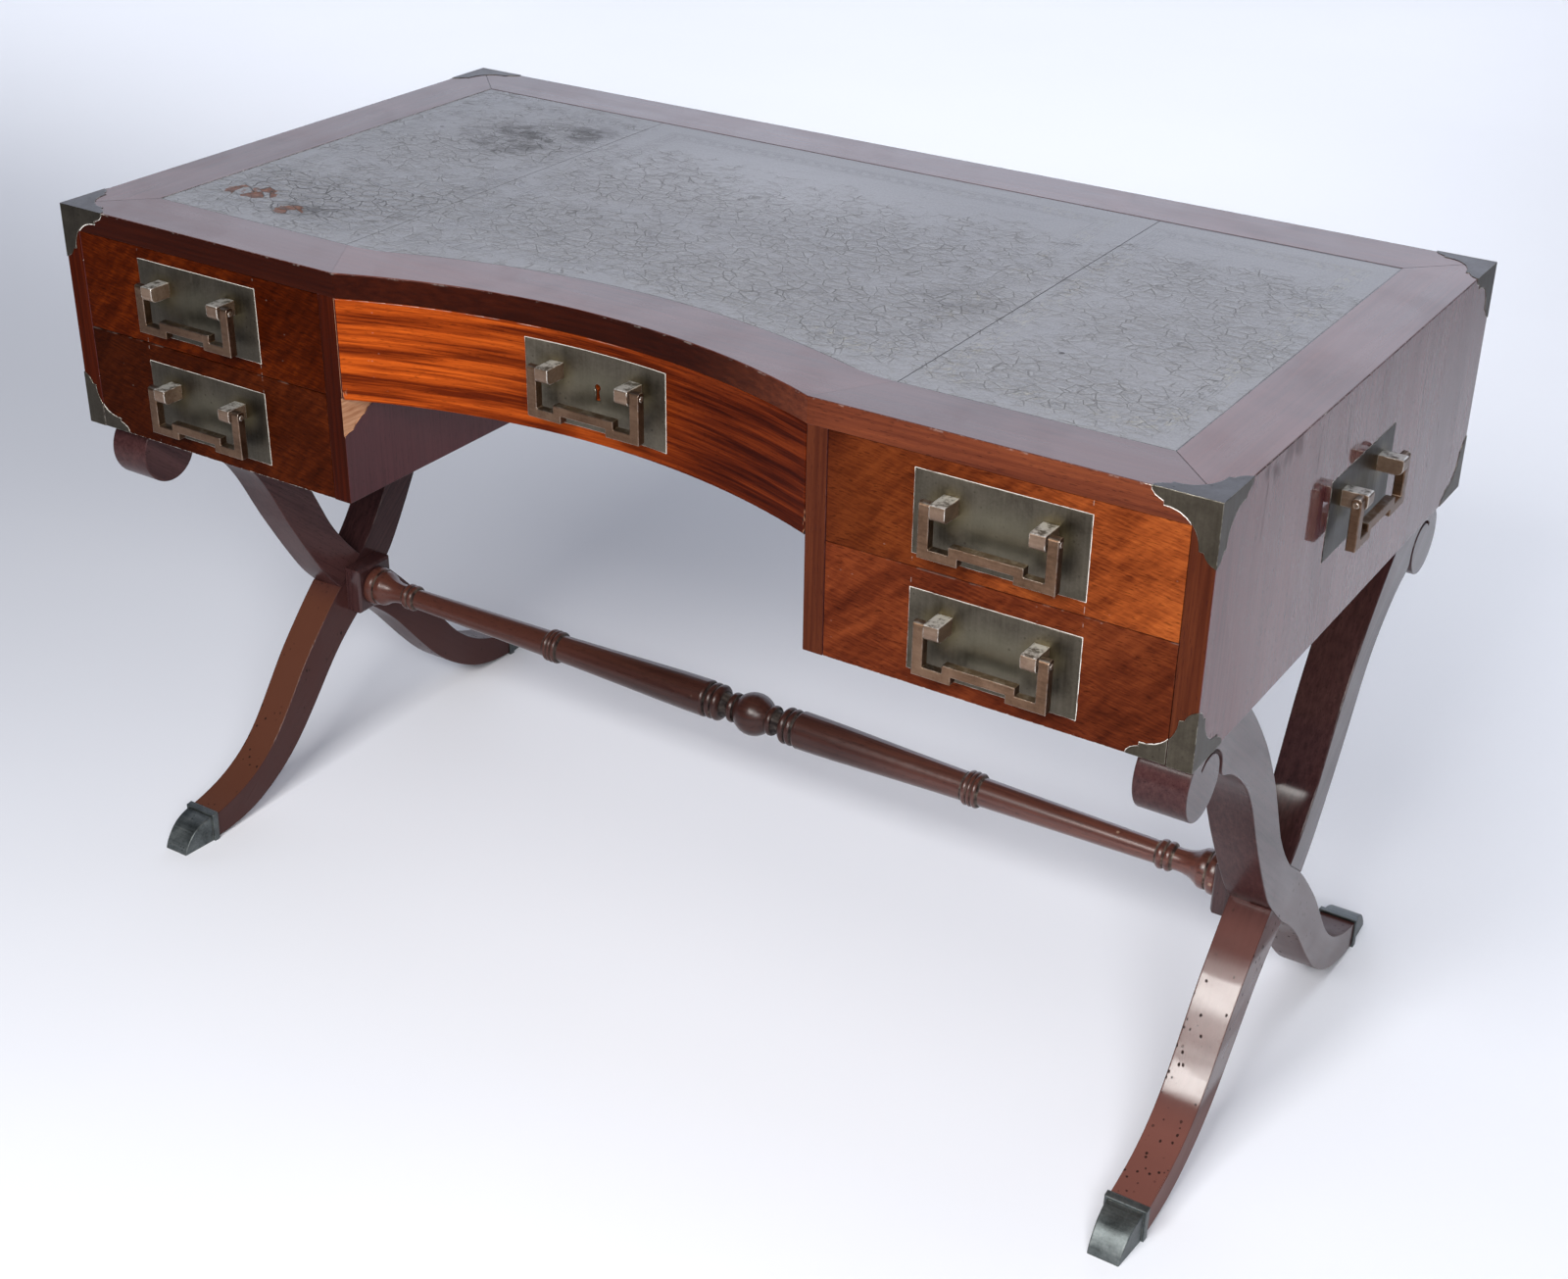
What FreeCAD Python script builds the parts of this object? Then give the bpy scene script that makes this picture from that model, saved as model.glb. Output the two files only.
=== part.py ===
# Campaign writing desk: a kneehole desk with a concave front, five drawers,
# brass corner brackets and let-in bail handles, standing on two X trestles
# with scrolled tops and brass toe caps, joined by a turned stretcher.
# Millimetres, +X to the right of a person standing at the front, -Y towards
# that person, +Z up. Origin on the floor under the centre of the overall box.
import FreeCAD, Part
import math
import os

V = FreeCAD.Vector
os.makedirs("parts", exist_ok=True)

# ---- driving dimensions -------------------------------------------------
CASE_W = 1239.0          # wood, left to right
CASE_D = 655.0           # wood, front to back
CASE_TOP = 764.5         # wood top surface
CASE_BOTTOM = 531.0
BAND_T = 24.0            # thickness of the top frame seen from the front
BORDER_W = 68.0          # width of the wooden border around the leather
LEATHER_T = 1.3
LEATHER_SUNK = 0.2
SEAM_X = 303.0           # the leather is laid in three pieces
SEAM_GAP = 0.5
END_T = 22.0             # end panels
INNER_T = 20.0           # kneehole side panels
KNEE_HALF = 258.5        # half width of the kneehole
CURVE_DEPTH = 53.0       # how far the middle of the front is set back
BACK_T = 14.0
BOARD_T = 12.5           # pedestal bottoms
DUST_T = 10.5
RAIL_Z = 640.0           # joint line between upper and lower drawers
FRONT_T = 20.0           # drawer fronts
SIDE_T = 10.0            # drawer sides and backs
DBOT_T = 6.0             # drawer bottoms
GAP = 0.7                # gap around drawer fronts
PROUD = 0.5              # brass stands this much above the wood
PLATE_T = 1.8            # brass sheet
HANDLE_W, HANDLE_H = 156.0, 75.0
HANDLE_X = 439.2         # centre of the pedestal handles
HANDLE_Z = (583.5, 690.2)
CENTRE_X = 5.0           # the centre handle and lock sit a little to the right
POST_W, POST_H, POST_LEN = 14.0, 15.0, 24.0
POST_IN = 37.0           # inner face of a post from the handle's middle
PIVOT_D, PIVOT_UP = 17.5, 14.5
PIN_R = 2.5
PIN_CLEAR = 0.06
BAIL_IN, BAIL_OUT = 51.8, 61.8
BAIL_T = 9.0
BAIL_TOP, BAIL_BOT = 20.5, -28.5
BAIL_BAR = 9.0
BAIL_STEP = 7.5
KEY_LOW, KEY_HIGH = 25.0, 33.5
BRACKET_A, BRACKET_V = 58.0, 55.0
LEG_X = 588.0            # middle plane of each trestle
LEG_T0, LEG_T1 = 38.5, 48.5   # leg thickness at the floor and at the case
AXIS_Z = 224.5           # stretcher axis and crossing of the legs
TRESTLE_Y = -6.0         # the trestles stand a little forward of the case
TOE_W = 267.5            # |y| where the toe cap begins
TOE_TIP = 316.0
BLOCK = 56.0
BLOCK_IN = 545.0

HW, HD = CASE_W / 2, CASE_D / 2
BAND_Z = CASE_TOP - BAND_T
Y_SHIFT = POST_LEN / 2   # centres the overall box, the handles stand out in front only
R_FRONT = (KNEE_HALF ** 2 + CURVE_DEPTH ** 2) / (2 * CURVE_DEPTH)
Y_MID = -HD + CURVE_DEPTH
ARC_Y = Y_MID - R_FRONT  # centre of the concave front's circle
BIG = 3000.0


# ---- helpers ------------------------------------------------------------
def box(x0, x1, y0, y1, z0, z1):
    return Part.makeBox(x1 - x0, y1 - y0, z1 - z0, V(x0, y0, z0))


def face_of(edges):
    return Part.Face(Part.Wire(edges))


def poly_edges(pts):
    return [Part.LineSegment(a, b).toShape() for a, b in zip(pts, pts[1:])]


def prism_x(pts, x0, x1):
    """Polygon in (y, z) pushed along X."""
    p = [V(x0, y, z) for y, z in pts]
    return face_of(poly_edges(p + p[:1])).extrude(V(x1 - x0, 0, 0))


def prism_y(pts, y0, y1):
    p = [V(x, y0, z) for x, z in pts]
    return face_of(poly_edges(p + p[:1])).extrude(V(0, y1 - y0, 0))


def prism_z(pts, z0, z1):
    p = [V(x, y, z0) for x, y in pts]
    return face_of(poly_edges(p + p[:1])).extrude(V(0, 0, z1 - z0))


def spline(pts):
    c = Part.BSplineCurve()
    c.interpolate([V(*p) for p in pts])
    return c.toShape()


def cyl(p, d, r, h):
    return Part.makeCylinder(r, h, V(*p), V(*d))


def fuse(*shapes):
    s = shapes[0]
    for t in shapes[1:]:
        s = s.fuse(t)
    return s.removeSplitter()


def cut(s, *tools):
    for t in tools:
        for k in (t if isinstance(t, (list, tuple)) else [t]):
            if s.BoundBox.intersect(k.BoundBox):
                s = s.cut(k)
    return s


def mirror_x(s):
    return s.mirror(V(0, 0, 0), V(1, 0, 0))


def mirror_y(s):
    return s.mirror(V(0, 0, 0), V(0, 1, 0))


def solids(s):
    out = s.Solids
    assert out, "empty shape"
    return out


def straight(e):
    return isinstance(e.Curve, (Part.Line, Part.LineSegment))


def level(e, axis, at):
    """The whole edge lies in the plane axis = at."""
    b = e.BoundBox
    lo, hi = {"x": (b.XMin, b.XMax), "y": (b.YMin, b.YMax), "z": (b.ZMin, b.ZMax)}[axis]
    return abs(lo - at) < 0.02 and abs(hi - at) < 0.02


def rounded(s, r, pick):
    """Solid with the picked arrises rounded to radius r."""
    s = solids(s)[0]
    out = s.makeFillet(r, [e for e in s.Edges if pick(e)])
    assert out.isValid() and len(out.Solids) == 1 and 0.9 < out.Volume / s.Volume < 1.0
    return out


nodes = {}


def put(name, *shapes):
    out = []
    for s in shapes:
        for k in (s if isinstance(s, (list, tuple)) else [s]):
            out += solids(k)
    for k in out:
        assert k.isValid() and k.Volume > 1, name
    nodes[name] = out


# ---- brass corner brackets ----------------------------------------------
# Outline in (u, v): u along one edge from the corner, v along the other.
def bracket_face(a, b, P, U, W):
    """Scalloped corner outline with tips a along U and b along W."""
    fa, fb = a / 58.0, b / 55.0
    lobe = [(58, 0), (57.2, 3.2), (54.3, 6.6), (50.4, 8.8), (47.0, 10.2)]
    sweep = [(46.6, 13.6), (40.0, 14.0), (33.5, 15.8), (28.3, 18.7), (24.0, 22.6), (20.4, 27.4), (18.0, 32.2), (16.4, 37.6), (15.6, 44.0)]
    tip = [(11.6, 44.4), (10.2, 47.4), (7.6, 51.0), (3.8, 53.6), (0, 55)]

    def at(q):
        return P + U * (q[0] * fa) + W * (q[1] * fb)
    edges = [Part.LineSegment(P, at(lobe[0])).toShape()]
    end = None
    for s in (lobe, sweep, tip):
        if end is not None:
            edges.append(Part.LineSegment(end, at(s[0])).toShape())
        c = Part.BSplineCurve()
        c.interpolate([at(q) for q in s])
        edges.append(c.toShape())
        end = at(s[-1])
    edges.append(Part.LineSegment(end, P).toShape())
    return Part.Face(Part.Wire(edges))


OX, OY, OZ = HW + PROUD, HD + PROUD, CASE_TOP + PROUD
X, Y, Z = V(1, 0, 0), V(0, 1, 0), V(0, 0, 1)


def top_bracket():
    """Front right top corner; the others are mirror images."""
    P = V(OX, -OY, OZ)
    a = bracket_face(BRACKET_A, BRACKET_A, P, X * -1, Y).extrude(Z * -PLATE_T)
    b = bracket_face(BRACKET_A, BRACKET_V, P, X * -1, Z * -1).extrude(Y * PLATE_T)
    c = bracket_face(BRACKET_A, BRACKET_V, P, Y, Z * -1).extrude(X * -PLATE_T)
    return fuse(a, b, c)


def bottom_bracket_parts():
    """Front right bottom corner: front plate and side plate."""
    P = V(OX, -OY, CASE_BOTTOM)
    b = bracket_face(BRACKET_A, BRACKET_V, P, X * -1, Z).extrude(Y * PLATE_T)
    c = bracket_face(BRACKET_A, BRACKET_V, P, Y, Z).extrude(X * -PLATE_T)
    return b, c


tb = top_bracket()
top_brackets = [tb, mirror_x(tb), mirror_y(tb), mirror_x(mirror_y(tb))]
bf, bs = bottom_bracket_parts()
split_x = HW - END_T
bb_front = fuse(bf.common(box(split_x + 0.1, BIG, -BIG, BIG, 0, BIG)), bs)
corner_plate_r = bf.common(box(0, split_x - GAP - 0.1, -BIG, BIG, CASE_BOTTOM + 0.6, BIG))
bb_back = mirror_y(fuse(bf, bs))
bottom_brackets = [bb_front, mirror_x(bb_front), bb_back, mirror_x(bb_back)]
put("corner_brackets_top", top_brackets)
put("corner_brackets_bottom", bottom_brackets)
all_brackets = top_brackets + bottom_brackets


# ---- trestle legs ---------------------------------------------------------
# Outline of one leg in (u, z). u runs from front to back of the trestle,
# positive on the side where the leg rolls over under the case.
ROLL_C = (271.0, 490.5)
ROLL = [(90, 40.5), (60, 38.8), (30, 36.2), (0, 34.2), (-30, 32.6), (-60, 31.8), (-90, 31.6),
        (-120, 32.0), (-150, 32.8), (-180, 33.4), (-210, 31.6), (-240, 27.5), (-270, 22.5), (-292, 18.6)]
SLIT = [(-292, 21.0), (-270, 25.2), (-240, 30.6), (-210, 35.6), (-180, 38.6)]
LEG_UP = [(190, 531), (176, 517), (157, 497), (139, 476), (120, 452), (97, 418), (81, 391), (66, 361),
          (54, 336), (42.5, 314), (33, 299.5), (22, 284.5), (10.5, 271), (0, 259.5), (-14, 248.5), (-28, 238),
          (-44, 224), (-62, 206), (-83, 183.5), (-102, 162), (-120, 138.5), (-140, 111.5), (-160, 87), (-183, 66),
          (-207, 51), (-229, 41.8), (-249, 36), (-267.5, 32)]
LEG_LOW = [(235.6, 484.5), (228, 479), (214, 472), (197, 462), (178, 447), (158, 426.5), (141, 402), (127, 375.5),
           (113, 347.5), (98, 320.5), (83, 294.5), (68, 270), (53, 248), (38, 231), (19, 212), (2, 196),
           (-13, 184), (-30, 170), (-52, 149), (-76, 121), (-95, 98), (-112, 78.5), (-131, 59), (-152, 41.5), (-176, 26),
           (-201, 14), (-226, 6.5), (-248, 3.2), (-267.5, 2.2)]


def leg_blank(sign):
    """One whole leg in the right-hand trestle, scroll on the side of sign."""
    x0 = LEG_X - 30

    def pt(q):
        return V(x0, sign * q[0], q[1])

    def pol(a, r):
        a = math.radians(a)
        return (ROLL_C[0] + r * math.cos(a), ROLL_C[1] + r * math.sin(a))

    def crv(pts):
        c = Part.BSplineCurve()
        c.interpolate([pt(p) for p in pts])
        return c.toShape()
    roll = [pol(*q) for q in ROLL]
    slit = [pol(*q) for q in SLIT]
    low = [slit[-1]] + LEG_LOW[1:]
    edges = [Part.LineSegment(pt(LEG_UP[0]), pt(roll[0])).toShape(),
             crv(roll),
             Part.LineSegment(pt(roll[-1]), pt(slit[0])).toShape(),
             crv(slit),
             crv(low),
             Part.LineSegment(pt(low[-1]), pt(LEG_UP[-1])).toShape(),
             crv(LEG_UP[::-1])]
    s = Part.Face(Part.Wire(edges)).extrude(V(60, 0, 0))
    # both broad faces slope, so the leg thins towards the floor
    z0, z1 = -20.0, CASE_BOTTOM + 20
    t0 = (LEG_T0 + (LEG_T1 - LEG_T0) * z0 / CASE_BOTTOM) / 2
    t1 = (LEG_T0 + (LEG_T1 - LEG_T0) * z1 / CASE_BOTTOM) / 2
    wedge = prism_y([(LEG_X - t0, z0), (LEG_X + t0, z0), (LEG_X + t1, z1), (LEG_X - t1, z1)], -400, 400)
    s = s.common(wedge)
    # tongue that enters the toe cap
    t = LEG_T0 / 2 - 3.2
    w = [(-TOE_W + 4, 7), (-297, 6), (-297, 14), (-287, 21.5), (-TOE_W + 4, 27.5)]
    return fuse(s, prism_x([(sign * a, b) for a, b in w], LEG_X - t, LEG_X + t))


def toe_cap(sign):
    """Brass toe at the end of a leg whose scroll is on the side of sign."""
    e = -sign

    def pt(q):
        return V(LEG_X - 30, e * q[0], q[1])
    c = Part.BSplineCurve()
    top = [(TOE_W + 7, 32.0), (284, 30.3), (294, 26.4), (303, 20.0), (309.6, 12.4), (314, 5.4), (TOE_TIP, 0)]
    c.interpolate([pt(q) for q in top])
    edges = [c.toShape(), Part.LineSegment(pt((TOE_TIP, 0)), pt((TOE_W + 7, 0))).toShape(),
             Part.LineSegment(pt((TOE_W + 7, 0)), pt(top[0])).toShape()]
    s = Part.Face(Part.Wire(edges)).extrude(V(60, 0, 0))
    h0, h1 = 19.2, 15.8
    y0, y1 = TOE_W, TOE_TIP + 2
    s = s.common(prism_z([(LEG_X - h0, e * y0), (LEG_X + h0, e * y0), (LEG_X + h1, e * y1), (LEG_X - h1, e * y1)], -5, 60))
    collar = prism_x([(e * (TOE_W - 0.4), 0), (e * (TOE_W - 1.6), 35.6), (e * (TOE_W + 6.6), 34.4), (e * (TOE_W + 7.4), 0)],
                     LEG_X - 21.4, LEG_X + 21.4)
    s = rounded(s, 1.2, lambda e: e.Length > 50 and e.BoundBox.ZMax > 20)
    collar = rounded(collar, 0.8, lambda e: e.Length > 30 and e.BoundBox.ZMax > 1)
    return fuse(collar, s)


screw_at = [203.0, 226.0]
SCREW_X = 580.0
screws = []
for sy in (-1, 1):
    for u in screw_at:
        z = CASE_BOTTOM + BOARD_T
        shank = cyl((SCREW_X, sy * u, z - 45), (0, 0, 1), 2.5, 45)
        head = Part.makeCone(2.5, 5.0, 3.0, V(SCREW_X, sy * u, z - 3), V(0, 0, 1))
        screws.append(fuse(shank, head))
screws += [mirror_x(s) for s in screws]

leg_f = leg_blank(1)     # foot at the front, scroll at the back
leg_b = leg_blank(-1)    # foot at the back, scroll at the front
# the legs are halved into each other where they cross
lap = leg_f.common(leg_b)
leg_f = leg_f.cut(lap.common(box(LEG_X, LEG_X + 100, -200, 200, 0, 500)))
leg_b = leg_b.cut(lap.common(box(LEG_X - 100, LEG_X, -200, 200, 0, 500)))

# ---- stretcher ------------------------------------------------------------
# right half of the turning, as smooth pieces that meet in crisp quirks
BALL = [(5, 23.5), (10, 21.9), (15, 19.0), (19, 15.6), (21.5, 13.2)]
TURNING = [
    [(21.5, 13.2), (22, 16.0)],
    [(22, 16.0), (24.2, 16.9), (26.5, 16.8), (28, 15.6)],
    [(28, 15.6), (28.6, 13.4)],
    [(28.6, 13.4), (33, 12.7), (38, 13.6)],
    [(38, 13.6), (39.4, 16.6)],
    [(39.4, 16.6), (41.2, 19.4), (44, 20.5), (46.6, 19.3), (47.8, 17.3)],
    [(47.8, 17.3), (49.0, 19.3), (51.8, 20.5), (54.6, 19.2), (56, 17.2)],
    [(56, 17.2), (57.2, 17.0)],
    [(57.2, 17.0), (57.8, 19.0), (59.4, 20.6), (62, 21.0)],
    [(62, 21.0), (100, 20.4), (150, 18.9), (200, 17.3), (262, 15.6)],
    [(262, 15.6), (263.2, 17.4), (265.6, 18.8), (268.0, 17.8), (269.0, 16.6)],
    [(269.0, 16.6), (269.8, 18.0), (271.4, 18.9), (273.0, 18.0), (273.8, 16.6)],
    [(273.8, 16.6), (274.8, 17.8), (277.2, 18.8), (279.6, 17.4), (280.8, 15.4)],
    [(280.8, 15.4), (330, 14.6), (400, 13.3), (455, 12.3), (477.6, 11.9)],
    [(477.6, 11.9), (479.0, 14.2), (481.8, 15.5), (484.8, 14.5), (486.2, 12.9)],
    [(486.2, 12.9), (487.6, 14.5), (490.5, 15.5), (493.4, 14.0), (494.6, 12.0)],
    [(494.6, 12.0), (501, 11.8), (509, 12.8), (516, 15.0), (521, 17.8), (523.6, 19.6)],
    [(523.6, 19.6), (525.4, 20.5), (528.6, 20.8), (531.8, 20.4), (533.6, 19.0)],
    [(533.6, 19.0), (534.6, 21.4), (537.0, 22.9), (540.0, 23.2), (543.0, 22.8), (545.0, 21.4)],
]
TEN = 574.0


def profile_edge(pts):
    if len(pts) == 2:
        return Part.LineSegment(V(pts[0][0], 0, pts[0][1]), V(pts[1][0], 0, pts[1][1])).toShape()
    return spline([(x, 0, r) for x, r in pts])


ball = [(-x, r) for x, r in BALL[::-1]] + [(0, 24.0)] + BALL
edges = [profile_edge([(-x, r) for x, r in seg[::-1]]) for seg in TURNING[::-1]]
edges += [profile_edge(ball)] + [profile_edge(seg) for seg in TURNING]
tail = [(BLOCK_IN, 21.4), (BLOCK_IN, 11), (TEN, 11), (TEN, 0), (-TEN, 0), (-TEN, 11), (-BLOCK_IN, 11), (-BLOCK_IN, 21.4)]
edges += [profile_edge([p, q]) for p, q in zip(tail, tail[1:])]
stretcher = face_of(edges).revolve(V(0, 0, 0), V(1, 0, 0), 360)
if stretcher.Volume < 0:
    stretcher.reverse()
stretcher.translate(V(0, 0, AXIS_Z))
stretcher = Part.Solid(stretcher.Shells[0]) if stretcher.ShapeType != "Solid" else stretcher
tenon = cyl((BLOCK_IN - 1, 0, AXIS_Z), (1, 0, 0), 11, TEN - BLOCK_IN + 1)

b2 = BLOCK / 2
block = box(BLOCK_IN, LEG_X, -b2, b2, AXIS_Z - b2, AXIS_Z + b2)
block = block.makeChamfer(2.5, [e for e in block.Edges if e.BoundBox.XMax < LEG_X - 1])
block = cut(block, leg_f, leg_b, tenon)
block = max(block.Solids, key=lambda s: s.Volume)
leg_f, leg_b = cut(leg_f, tenon, screws), cut(leg_b, tenon, screws)

# the caps are hollow: the tongue of the leg fills them
cap_f, cap_b = cut(toe_cap(1), leg_f), cut(toe_cap(-1), leg_b)
cap_f = max(cap_f.Solids, key=lambda s: s.Volume)
cap_b = max(cap_b.Solids, key=lambda s: s.Volume)

for part in [leg_f, leg_b, cap_f, cap_b, stretcher, block] + screws:
    part.translate(V(0, TRESTLE_Y, 0))
put("right_leg_front_foot", leg_f)
put("right_leg_back_foot", leg_b)
put("left_leg_front_foot", mirror_x(leg_f))
put("left_leg_back_foot", mirror_x(leg_b))
put("toe_caps", cap_f, cap_b, mirror_x(cap_f), mirror_x(cap_b))
put("stretcher", stretcher)
put("stretcher_blocks", block, mirror_x(block))
put("trestle_screws", screws)


# ---- handles --------------------------------------------------------------
def rounded_post():
    """Post profile: depth from the plate against height; rounded nose."""
    d0, d1, h0, h1 = 0.0, POST_LEN, PIVOT_UP - 8.5, PIVOT_UP - 8.5 + POST_H
    ra, rb = 2.0, 6.0
    s = math.sqrt(0.5)
    e = [Part.LineSegment(V(0, -d0, h0), V(0, -d0, h1)).toShape(),
         Part.LineSegment(V(0, -d0, h1), V(0, -(d1 - ra), h1)).toShape(),
         Part.Arc(V(0, -(d1 - ra), h1), V(0, -(d1 - ra + ra * s), h1 - ra + ra * s), V(0, -d1, h1 - ra)).toShape(),
         Part.LineSegment(V(0, -d1, h1 - ra), V(0, -d1, h0 + rb)).toShape(),
         Part.Arc(V(0, -d1, h0 + rb), V(0, -(d1 - rb + rb * s), h0 + rb - rb * s), V(0, -(d1 - rb), h0)).toShape(),
         Part.LineSegment(V(0, -(d1 - rb), h0), V(0, -d0, h0)).toShape()]
    return Part.Face(Part.Wire(e)).extrude(V(POST_W, 0, 0))


def handle(wood_t, base=0.0, sunk=0.0):
    """Handle seen from the front, plate centre at the origin of x and z,
    y = 0 on the plate's outer face. base is extra post length at the root,
    sunk is how far the nut is let into the back of the wood."""
    post = rounded_post().translated(V(POST_IN, 0, 0))
    if base:
        post = fuse(post, box(POST_IN, POST_IN + POST_W, -1, base + 1, PIVOT_UP - 8.5, PIVOT_UP - 8.5 + POST_H))
    zc = PIVOT_UP - 8.5 + POST_H / 2
    xc = POST_IN + POST_W / 2
    reach = PROUD + wood_t + (6.5 if not sunk else -0.4)
    stud = cyl((xc, -1, zc), (0, 1, 0), 3.0, reach + 1 + base)
    post = fuse(post, stud)
    pin = cyl((POST_IN + 6, -PIVOT_D, PIVOT_UP), (1, 0, 0), PIN_R, BAIL_OUT + 0.5 - POST_IN - 6)
    post = post.cut(pin)
    y0 = PROUD + wood_t + base - sunk
    nut = box(xc - 5.5, xc + 5.5, y0, y0 + 4, zc - 5.5, zc + 5.5).cut(stud)
    posts, pins, nuts = [post], [pin], [nut]
    full = posts + pins + nuts
    full = full + [mirror_x(s) for s in full]
    # bail: two arms and a stepped key-pattern bar
    i, o = BAIL_IN, BAIL_OUT
    b0, b1 = BAIL_BOT, BAIL_BOT + BAIL_BAR
    k = BAIL_STEP
    half_o = [(i, BAIL_TOP), (o, BAIL_TOP), (o, b0), (KEY_LOW, b0), (KEY_LOW, b0 + k)]
    half_i = [(KEY_HIGH, b1 + k), (KEY_HIGH, b1), (i, b1)]
    ring = half_o + [(-x, z) for x, z in half_o[::-1]] + [(-x, z) for x, z in half_i[::-1]] + half_i
    bail = prism_y(ring, -PIVOT_D - BAIL_T / 2, -PIVOT_D + BAIL_T / 2)
    # round the tops of the arms about the pin
    for sx in (1, -1):
        xa, xb = sorted((sx * (i - 1), sx * (o + 1)))
        r = BAIL_T / 2
        corner = box(xa, xb, -PIVOT_D - r - 1, -PIVOT_D + r + 1, BAIL_TOP - 3.0, BAIL_TOP + 1)
        keep = cyl((xa, -PIVOT_D, BAIL_TOP - r - 0.3), (1, 0, 0), r + 0.6, xb - xa)
        bail = bail.cut(corner.cut(keep))
        bail = bail.cut(cyl((xa, -PIVOT_D, PIVOT_UP), (1, 0, 0), PIN_R + PIN_CLEAR, xb - xa))
    bail = rounded(bail, 0.8, lambda e: straight(e) and e.Length > 4)
    return full, bail, stud, [stud, mirror_x(stud)]


def flat_plate():
    return box(-HANDLE_W / 2, HANDLE_W / 2, 0, PLATE_T, -HANDLE_H / 2, HANDLE_H / 2)


def place(s, x, y, z, turn=0):
    s = s.copy()
    if turn:
        s.rotate(V(0, 0, 0), V(0, 0, 1), turn)
    s.translate(V(x, y, z))
    return s


# ---- case ------------------------------------------------------------------
def arc_y(x, r):
    return ARC_Y + math.sqrt(r * r - x * x)


def arc_edge(r, x0, x1, z):
    m = (x0 + x1) / 2
    return Part.Arc(V(x0, arc_y(x0, r), z), V(m, arc_y(m, r), z), V(x1, arc_y(x1, r), z)).toShape()


bx, by = HW - BORDER_W, HD - BORDER_W
r_in = R_FRONT + BORDER_W
REV = 150.0
fx = math.sqrt((r_in + REV) ** 2 - (-by + REV - ARC_Y) ** 2)
tx = r_in * fx / (r_in + REV)


def inner_front_edges(z, left_to_right=True):
    """Front edge of the leather: straight, reversed curve, arc, and back."""
    cy = -by + REV
    a_line = (fx, -by)
    ang0, ang1 = -90.0, math.degrees(math.atan2(arc_y(tx, r_in) - cy, tx - fx))
    am = math.radians((ang0 + ang1 - (360 if ang1 > 0 else 0)) / 2)
    mid = (fx + REV * math.cos(am), cy + REV * math.sin(am))
    e = [Part.LineSegment(V(-bx, -by, z), V(-fx, -by, z)).toShape(),
         Part.Arc(V(-fx, -by, z), V(-mid[0], mid[1], z), V(-tx, arc_y(tx, r_in), z)).toShape(),
         arc_edge(r_in, -tx, tx, z),
         Part.Arc(V(tx, arc_y(tx, r_in), z), V(mid[0], mid[1], z), V(fx, -by, z)).toShape(),
         Part.LineSegment(V(fx, -by, z), V(bx, -by, z)).toShape()]
    return e


zb = BAND_Z
outer_front = [Part.LineSegment(V(-HW, -HD, zb), V(-KNEE_HALF, -HD, zb)).toShape(),
               arc_edge(R_FRONT, -KNEE_HALF, KNEE_HALF, zb),
               Part.LineSegment(V(KNEE_HALF, -HD, zb), V(HW, -HD, zb)).toShape(),
               Part.LineSegment(V(HW, -HD, zb), V(bx, -by, zb)).toShape()]
border_front = Part.Face(Part.Wire(outer_front + inner_front_edges(zb)[::-1] +
                                   [Part.LineSegment(V(-bx, -by, zb), V(-HW, -HD, zb)).toShape()])).extrude(V(0, 0, BAND_T))
border_back = prism_z([(-HW, HD), (HW, HD), (bx, by), (-bx, by)], zb, CASE_TOP)
border_right = prism_z([(HW, -HD), (HW, HD), (bx, by), (bx, -by)], zb, CASE_TOP)

inner = inner_front_edges(zb) + poly_edges([V(bx, -by, zb), V(bx, by, zb), V(-bx, by, zb), V(-bx, -by, zb)])
field = Part.Face(Part.Wire(inner))
l_top = CASE_TOP - LEATHER_SUNK
top_core = field.extrude(V(0, 0, l_top - LEATHER_T - zb))
leather = field.extrude(V(0, 0, LEATHER_T)).translated(V(0, 0, l_top - LEATHER_T - zb))
leather_c = leather.common(box(-SEAM_X + SEAM_GAP / 2, SEAM_X - SEAM_GAP / 2, -BIG, BIG, 0, BIG))
leather_r = leather.common(box(SEAM_X + SEAM_GAP / 2, BIG, -BIG, BIG, 0, BIG))

# end panels mitred to the top along their upper edge
m = HW - END_T
end_r = prism_y([(m, CASE_BOTTOM), (HW, CASE_BOTTOM), (HW, CASE_TOP), (m, CASE_TOP - END_T)], -HD, HD)
end_l = mirror_x(end_r)
back_y = HD - BACK_T
inner_r = box(KNEE_HALF, KNEE_HALF + INNER_T, -HD, back_y, CASE_BOTTOM, BAND_Z)
behind = -HD + FRONT_T + 0.6
px0, px1 = KNEE_HALF + INNER_T, m
bottom_r = box(px0, px1, behind, back_y, CASE_BOTTOM, CASE_BOTTOM + BOARD_T)
dust_r = box(px0, px1, behind, back_y, RAIL_Z - 6.0, RAIL_Z - 6.0 + DUST_T)
runner_r = box(KNEE_HALF - 14, KNEE_HALF, -296, back_y, RAIL_Z - 11, RAIL_Z + 3.5)
back = box(-m, m, back_y, HD, CASE_BOTTOM, BAND_Z)

bolt_y = arc_y(0, R_FRONT + FRONT_T) + 5
MORTISE = box(CENTRE_X - 14, CENTRE_X + 14, bolt_y - 7.5, bolt_y + 7.5, BAND_Z - 1, BAND_Z + 11)
carry, carry_bail, _, carry_studs = handle(END_T, 0.0, 4.8)
wells = [box(s * (POST_IN + POST_W / 2) - 6, s * (POST_IN + POST_W / 2) + 6, PROUD + END_T - 4.8, PROUD + END_T + 1,
             PIVOT_UP - 8.5 + POST_H / 2 - 6, PIVOT_UP - 8.5 + POST_H / 2 + 6) for s in (1, -1)]
CARRY_Z = 650.0
right_set = [place(s, HW + PROUD, 0, CARRY_Z, 90) for s in carry]
left_set = [place(s, -HW - PROUD, 0, CARRY_Z, -90) for s in carry]
plate_r = place(flat_plate(), HW + PROUD, 0, CARRY_Z, 90)
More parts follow.
